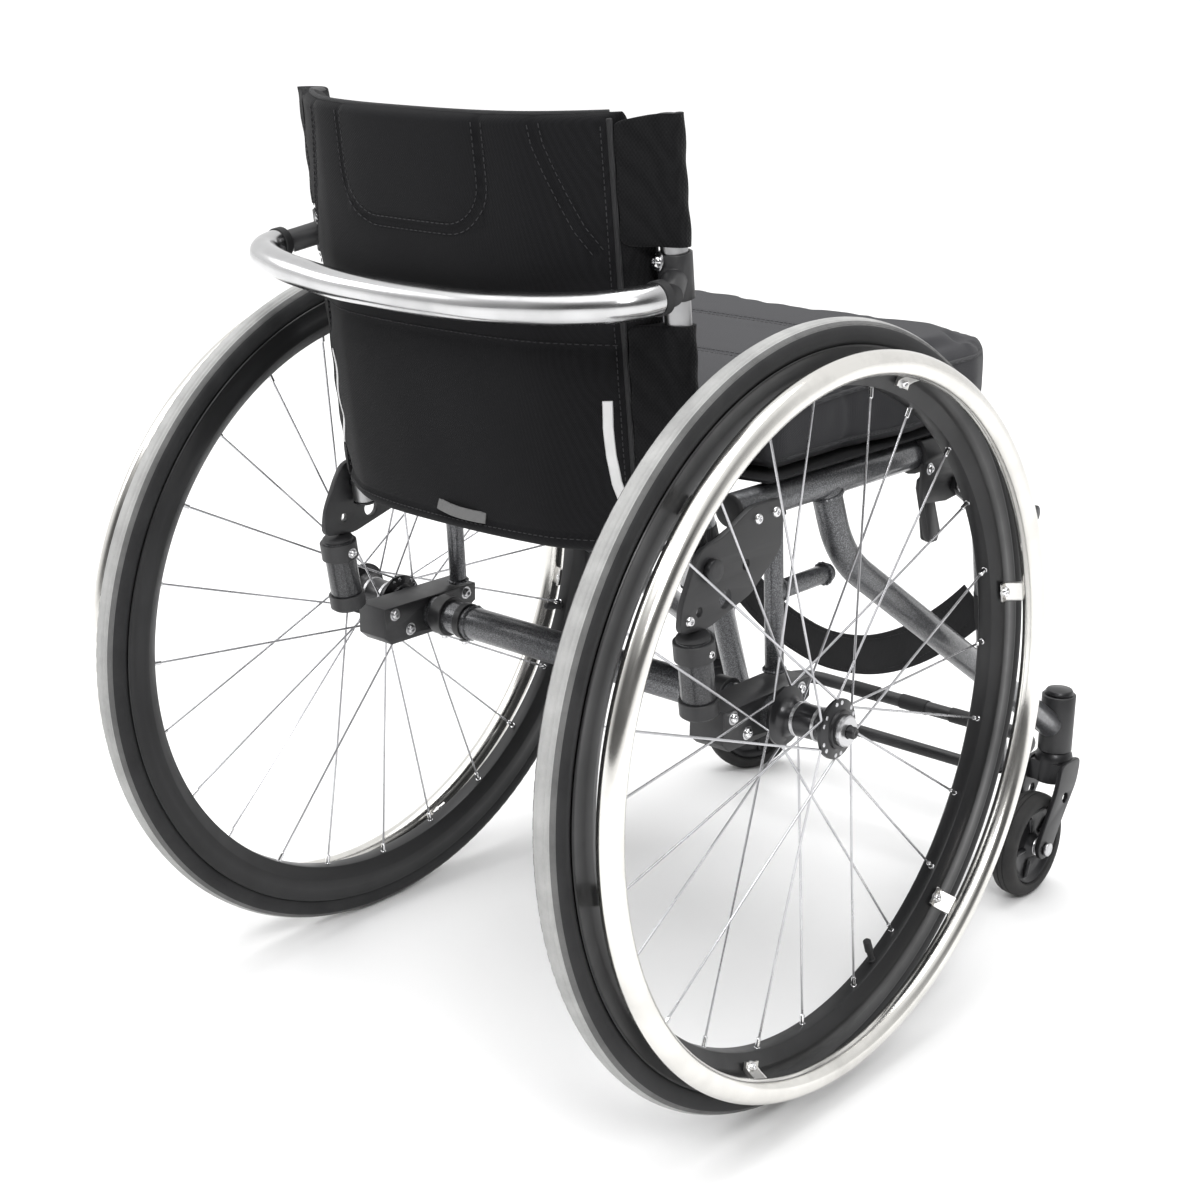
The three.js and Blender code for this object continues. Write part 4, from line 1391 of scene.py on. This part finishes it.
def padding():
    """The rear panel, and on each side two wings with the lining of the notch between them."""
    panel = back_panel()
    place(panel, "backrest", "black_fabric", "back_pad")
    for side, s in SIDES:
        upper = wing(side, s, 656, 744, "upper_wing")
        lower = wing(side, s, 438, 602, "lower_wing")
        for piece in (upper, lower):
            place(piece, "backrest", "black_fabric", "back_pad")
        notch_lining(side, s)


def back_piping():
    """Cords down both sides of the panel and along its top."""
    cords = []
    for s in (1, -1):
        edge = surface_line([(s * 151.2, 437), (s * 151.2, 740)], -3.0, 4)
        cords.append(tube(edge, 2.2, PIPING, 10))
    top = []
    for k in range(61):
        x = -146 + 292 * k / 60
        z = panel_top(x) - 0.4
        middle = (smooth_curve(OUTER, x) + smooth_curve(INNER, x)) / 2
        top.append(at(x, back_front(z) + middle + 2, z))
    cords.append(tube(top, 2.1, PIPING, 10))
    place(join("back_piping", cords), "backrest", "black_fabric")


def stitch_lines():
    """Where the rows of stitches run: on both sides of the seams, and inside the edges."""
    lines = []
    for line in (PANEL_SEAM, *SIDE_SEAMS):
        lines.append(offset_line(line, 3.6))
        lines.append(offset_line(line, -3.6))
    lines.append([(-148, 588.5), (148, 588.5)])
    lines.append([(-148, 445.5), (148, 445.5)])
    for s in (1, -1):
        lines.append([(s * 146.5, 452), (s * 146.5, 736)])
    return lines


def painted_light_strips():
    """A bowed bright strip low down on each side: painted light standing in for light seen through the
    slot between the rear panel and the wing.
    """
    strips = []
    for s in (1, -1):
        line = [
            (s * 139.5, 549), (s * 138.8, 530), (s * 139.5, 508), (s * 141.5, 490), (s * 145.5, 474),
        ]
        path = surface_line(line, 0.2, 3)
        normals = [Vector((s * 0.62, 0.78, 0))] * len(path)
        strips.append(flat_strap("strip", path, normals, 7.5, 0.9, PAINTED_LIGHT))
    place(join("painted_light_strips", strips), "backrest", "silver_alloy")


def pull_strap():
    """The short arched strap at the hem."""
    path = surface_line([(-43, 451.5), (-21, 453.2), (2, 455)], 0.6, 3)
    for i in range(len(path)):
        arch = math.sin(math.pi * i / (len(path) - 1))
        path[i] += Vector((0, 4.0 * arch, 0)) * MM
    normals = [Vector((0, 1, 0.2))] * len(path)
    pull = flat_strap("pull_strap", path, normals, 8.5, 1.1, GREY_TAPE)
    place(pull, "backrest", "black_fabric")


padding()
back_piping()
back_stitches(stitch_lines())
painted_light_strips()
pull_strap()

# ------------------------------------------------------------------ seat

CUSHION_LOW, CUSHION_TOP, CUSHION_RISE = 476, 530, 0.045
CUSHION_MIDDLE = -150
CHANNELS = (-112, -232)
CUSHION_PLAN = [
    (146, 30), (146, -12), (182, -22), (182, -120), (190, -200), (190, -290), (178, -322), (150, -336),
]


def cushion_top(y):
    return CUSHION_TOP - y * CUSHION_RISE


def dense_outline(half, spacing):
    """The outline of a symmetric plan, given one half, with points about spacing mm apart."""
    outline = half + [(-x, y) for x, y in reversed(half)]
    dense = []
    for (x0, y0), (x1, y1) in zip(outline, outline[1:] + outline[:1]):
        count = max(1, int(math.hypot(x1 - x0, y1 - y0) / spacing))
        for k in range(count):
            dense.append((x0 + (x1 - x0) * k / count, y0 + (y1 - y0) * k / count))
    return dense


def cushion_start():
    """The cushion's cover before it is blown up: its plan drawn in a little, with soft edges."""
    inset = 3.0
    plan = [(x - inset, y) for x, y in CUSHION_PLAN]
    plan[0] = (plan[0][0], CUSHION_PLAN[0][1] - inset)
    plan[-1] = (plan[-1][0], CUSHION_PLAN[-1][1] + inset)
    dense = dense_outline(plan, 10)
    levels = [(0.0, 5), (0.1, 1.2), (0.3, 0), (0.7, 0), (0.9, 0.8), (1.0, 4)]
    vertices = []
    for t, pull in levels:
        for x, y in dense:
            length = math.hypot(x, y - CUSHION_MIDDLE)
            k = (length - pull) / length
            px, py = x * k, (y - CUSHION_MIDDLE) * k + CUSHION_MIDDLE
            top = cushion_top(py) - 4
            vertices.append(at(px, py, CUSHION_LOW + 3 + (top - CUSHION_LOW - 3) * t))
    faces = capped_grid(len(levels), len(dense))
    return fix_normals(new_object("seat_cushion_looks", vertices, faces, SEAT_CLOTH))


INWARD_HELD = 0.75


def inflate(obj, voxel, pressure, cap, frames=20):
    """Remeshes the piece, blows it up as cloth and keeps the result.

    No point moves past cap, and the share INWARD_HELD of each inward move is given back, as the
    foam inside would.
    """
    remesh = obj.modifiers.new("remesh", "REMESH")
    remesh.mode = "VOXEL"
    remesh.voxel_size = voxel
    bpy.context.view_layer.update()
    apply_modifiers(obj)
    start = np.array([v.co for v in obj.data.vertices])
    cloth = obj.modifiers.new("cloth", "CLOTH")
    cloth.settings.quality = 6
    cloth.settings.use_pressure = True
    cloth.settings.uniform_pressure_force = pressure
    cloth.settings.effector_weights.gravity = 0
    cloth.settings.tension_stiffness = 18
    cloth.settings.compression_stiffness = 18
    cloth.settings.bending_stiffness = 1.2
    cloth.point_cache.frame_start = 1
    cloth.point_cache.frame_end = frames
    scene = bpy.context.scene
    for step in range(1, frames + 1):
        scene.frame_set(step)
    evaluated = obj.evaluated_get(bpy.context.evaluated_depsgraph_get())
    end = np.array([v.co for v in evaluated.data.vertices])
    obj.modifiers.remove(cloth)
    scene.frame_set(1)
    move = end - start
    normals = np.array([v.normal for v in obj.data.vertices])
    inward = np.minimum((move * normals).sum(axis=1), 0)
    move -= normals * (inward * INWARD_HELD)[:, None]
    length = np.linalg.norm(move, axis=1)
    scale = np.minimum(1.0, cap / np.maximum(length, 1e-9))
    final = start + move * scale[:, None]
    obj.data.vertices.foreach_set("co", final.ravel())
    obj.data.update()


def apply_modifiers(obj):
    evaluated = obj.evaluated_get(bpy.context.evaluated_depsgraph_get())
    mesh = bpy.data.meshes.new_from_object(evaluated)
    obj.modifiers.clear()
    obj.data = mesh


def edge_distance(x, y):
    """Distance in mm from a plan point to the cushion's outline."""
    line = CUSHION_PLAN + [(-a, b) for a, b in reversed(CUSHION_PLAN)]
    return distance_to_line(x, y, line + line[:1])


def cushion():
    """The seat cushion: blown up, then sewn down along its channels and left slightly uneven."""
    obj = cushion_start()
    inflate(obj, voxel=0.0055, pressure=4.0, cap=0.010)
    for vertex in obj.data.vertices:
        x, y, z = vertex.co.x / MM, (vertex.co.y - AXLE.y) / MM, vertex.co.z / MM
        top = cushion_top(y)
        height = (z - CUSHION_LOW) / (top - CUSHION_LOW)
        if height > 0.6:
            dip = 0.0
            for line in CHANNELS:
                dip = max(dip, 3.0 * math.exp(-((y - line) / 5.5) ** 2))
            dip *= max(0.0, min(1.0, (edge_distance(x, y) - 4) / 14))
            wave = 0.6 * waves(x * 1.4, y * 1.2)
            z += (wave - dip) * min(1.0, (height - 0.6) / 0.3)
        else:
            wave = 0.8 * math.sin(y * 0.07 + x * 0.05) + 0.5 * math.sin(z * 0.3 + y * 0.03)
            x += math.copysign(wave, x) * 0.6
        z = max(z, CUSHION_LOW + 0.6)
        if height > 0.6:
            z = min(z, top + 4.5)
        vertex.co = at(x, y, z)
    soften(obj)
    for polygon in obj.data.polygons:
        polygon.use_smooth = True
    obj.data.materials.clear()
    obj.data.materials.append(SEAT_CLOTH)
    place(obj, "frame", "grey_fabric", "seat_cushion")
    return obj


def cushion_surface(tree, x, y, lift):
    """A point on top of the cushion, found from above."""
    hit = tree.ray_cast(at(x, y, 640), Vector((0, 0, -1)))
    return (hit[0] if hit[0] is not None else at(x, y, cushion_top(y))) + Vector((0, 0, lift * MM))


def cushion_side_point(tree, x, y, z, lift):
    """A point on the cushion's side wall at a height, found from outside."""
    centre = at(0, max(min(y, -20), -310), z)
    target = at(x, y, z)
    away = (target - centre).normalized()
    start = centre + away * 0.5
    hit = tree.ray_cast(start, -away)
    point = hit[0] if hit[0] is not None else target
    return point + away * lift * MM


def cushion_trim(obj):
    """Piping round the top and bottom edges, and stitches on both sides of the sewn channels."""
    tree = BVHTree.FromObject(obj, bpy.context.evaluated_depsgraph_get())
    dense = dense_outline(CUSHION_PLAN, 6)
    cords = []
    for height in (0.8, 0.16):
        path = []
        for x, y in dense:
            z = CUSHION_LOW + (cushion_top(y) - CUSHION_LOW) * height
            path.append(cushion_side_point(tree, x, y, z, -0.4))
        for _ in range(3):
            path = [
                (path[i - 1] + path[i] * 2 + path[(i + 1) % len(path)]) / 4 for i in range(len(path))
            ]
        path.append(path[0])
        cords.append(sweep("piping", path, ring_section(2.0, 10), SEAT_PIPING, caps=False))
    place(join("cushion_piping", cords), "frame", "grey_fabric")
    rows = []
    for line in CHANNELS:
        for off in (-4.2, 4.2):
            x = -168
            while x < 168:
                a = cushion_surface(tree, x, line + off, 0.3)
                b = cushion_surface(tree, x + 3.2, line + off, 0.3)
                rows.append(rod(a, b, 0.42, SEAT_THREAD, 6))
                x += 4.8
    place(join("cushion_stitches", rows), "frame", "grey_fabric")


def sling():
    """Seat sling stretched between the rails, sagging a little and lying over their tops."""
    columns, rows = 60, 70
    vertices = []
    for i in range(rows + 1):
        y = -300 + 346 * i / rows
        half = 183 if y < 0 else 149.6
        for j in range(columns + 1):
            x = -half + 2 * half * j / columns
            sag = 2.6 * max(0.0, 1 - (x / 150) ** 2)
            vertices.append(at(x, y, 475.0 - sag * 0.9 + 0.15 * waves(x * 3, y * 3)))
    faces = grid_faces(rows + 1, columns + 1, wrap_columns=False)
    obj = new_object("seat_sling_looks", vertices, faces, SLING_CLOTH)
    cloth = obj.modifiers.new("cloth", "SOLIDIFY")
    cloth.thickness = 2.0 * MM
    cloth.offset = -1
    smooth(obj, 60)
    place(obj, "frame", "black_fabric", "seat_sling")


cushion_trim(cushion())
sling()

# ------------------------------------------------------------------ wheel locks


def lock_details(side, s):
    """Rubber lever grip, pivot bolts and the knurled shoe of the wheel lock."""
    grip_low, grip_top = at(s * 176.9, -242.2, 381), at(s * 176.9, -238.0, 400)
    grip = rod(grip_low, grip_top, 6.3, GRIP, 24)
    place(join("lever_grip_" + side, [grip]), "lever_" + side, "black_paint")
    shoe_axis = Vector((s, 0, 0))
    rings = [band(at(s * x, -302, 402), shoe_axis, 7.7, 2.4, STEEL, 0.5)
             for x in range(204, 240, 5)]
    place(join("shoe_knurl_" + side, rings), "shoe_" + side, "steel")
    bolts = [
        side_bolt(s, 194, -262, 427, 4.6, 2.8), side_bolt(s, 187, -222, 446, 3.8, 2.6),
        side_bolt(s, 187, -264, 446, 3.8, 2.6),
    ]
    place(join("lock_bolts_" + side, bolts), "frame", "steel")


for side, s in SIDES:
    lock_details(side, s)

# ------------------------------------------------------------------ floor and light


def floor():
    size = 60.0
    obj = new_object("floor", [
        (-size, -size, 0), (size, -size, 0), (size, size, 0), (-size, size, 0),
    ], [(0, 1, 2, 3)])
    n = Material("pale_floor")
    shade = n.noise(2.5, 2)
    n.set(
        Base_Color=n.ramp(shade, [(0.3, (0.915, 0.915, 0.915)), (0.7, (0.925, 0.925, 0.925))]),
        Roughness=0.8, Specular_IOR_Level=0.1, Normal=n.bump(n.noise(160, 2), 0.0002, 0.2),
    )
    obj.data.materials.append(n.material)


def lamp(name, place_at, aim, size, power):
    data = bpy.data.lights.new(name, "AREA")
    data.shape = "DISK"
    data.size = size
    data.energy = power
    obj = bpy.data.objects.new(name, data)
    obj.location = place_at
    obj.rotation_euler = (Vector(aim) - Vector(place_at)).to_track_quat("-Z", "Y").to_euler()
    bpy.context.collection.objects.link(obj)


DIM_SIDE = 0.10


def studio():
    """Soft light from ahead and overhead, less from low down behind, and plain white to be seen."""
    world = bpy.data.worlds.new("studio")
    bpy.context.scene.world = world
    n = Nodes(world, "Background")
    way = n.add("TexCoord").outputs["Generated"]
    ahead = n.add("VectorMath", {0: way, 1: (0.65, -0.76, 0)}, operation="DOT_PRODUCT")
    height = n.add("SeparateXYZ", {0: way}).outputs["Z"]
    wall = n.spread(ahead.outputs["Value"], 0, 1, -0.5, 0.15)
    roof = n.spread(height, 0, 1, 0.42, 0.8)
    level = n.spread(n.maths("MAXIMUM", wall, roof), DIM_SIDE, 1, 0, 1)
    seen = n.add("LightPath").outputs["Is Camera Ray"]
    n.set(Color=(1, 1, 1), Strength=n.maths("MAXIMUM", level, seen))
    lamp("key", (-2.6, 2.4, 3.4), (0, 0, 0.3), 1.6, 80)
    lamp("fill", (3.0, 1.8, 2.2), (0, 0, 0.4), 1.6, 20)
    lamp("top", (0.2, -0.4, 4.0), (0, 0, 0.3), 2.4, 40)
    data = bpy.data.lights.new("ceiling", "SUN")
    data.energy = 1.15
    data.angle = math.radians(70)
    ceiling = bpy.data.objects.new("ceiling", data)
    ceiling.rotation_euler = (math.radians(-12), math.radians(8), 0)
    bpy.context.collection.objects.link(ceiling)
    bpy.context.scene.view_settings.view_transform = "Standard"


floor()
studio()
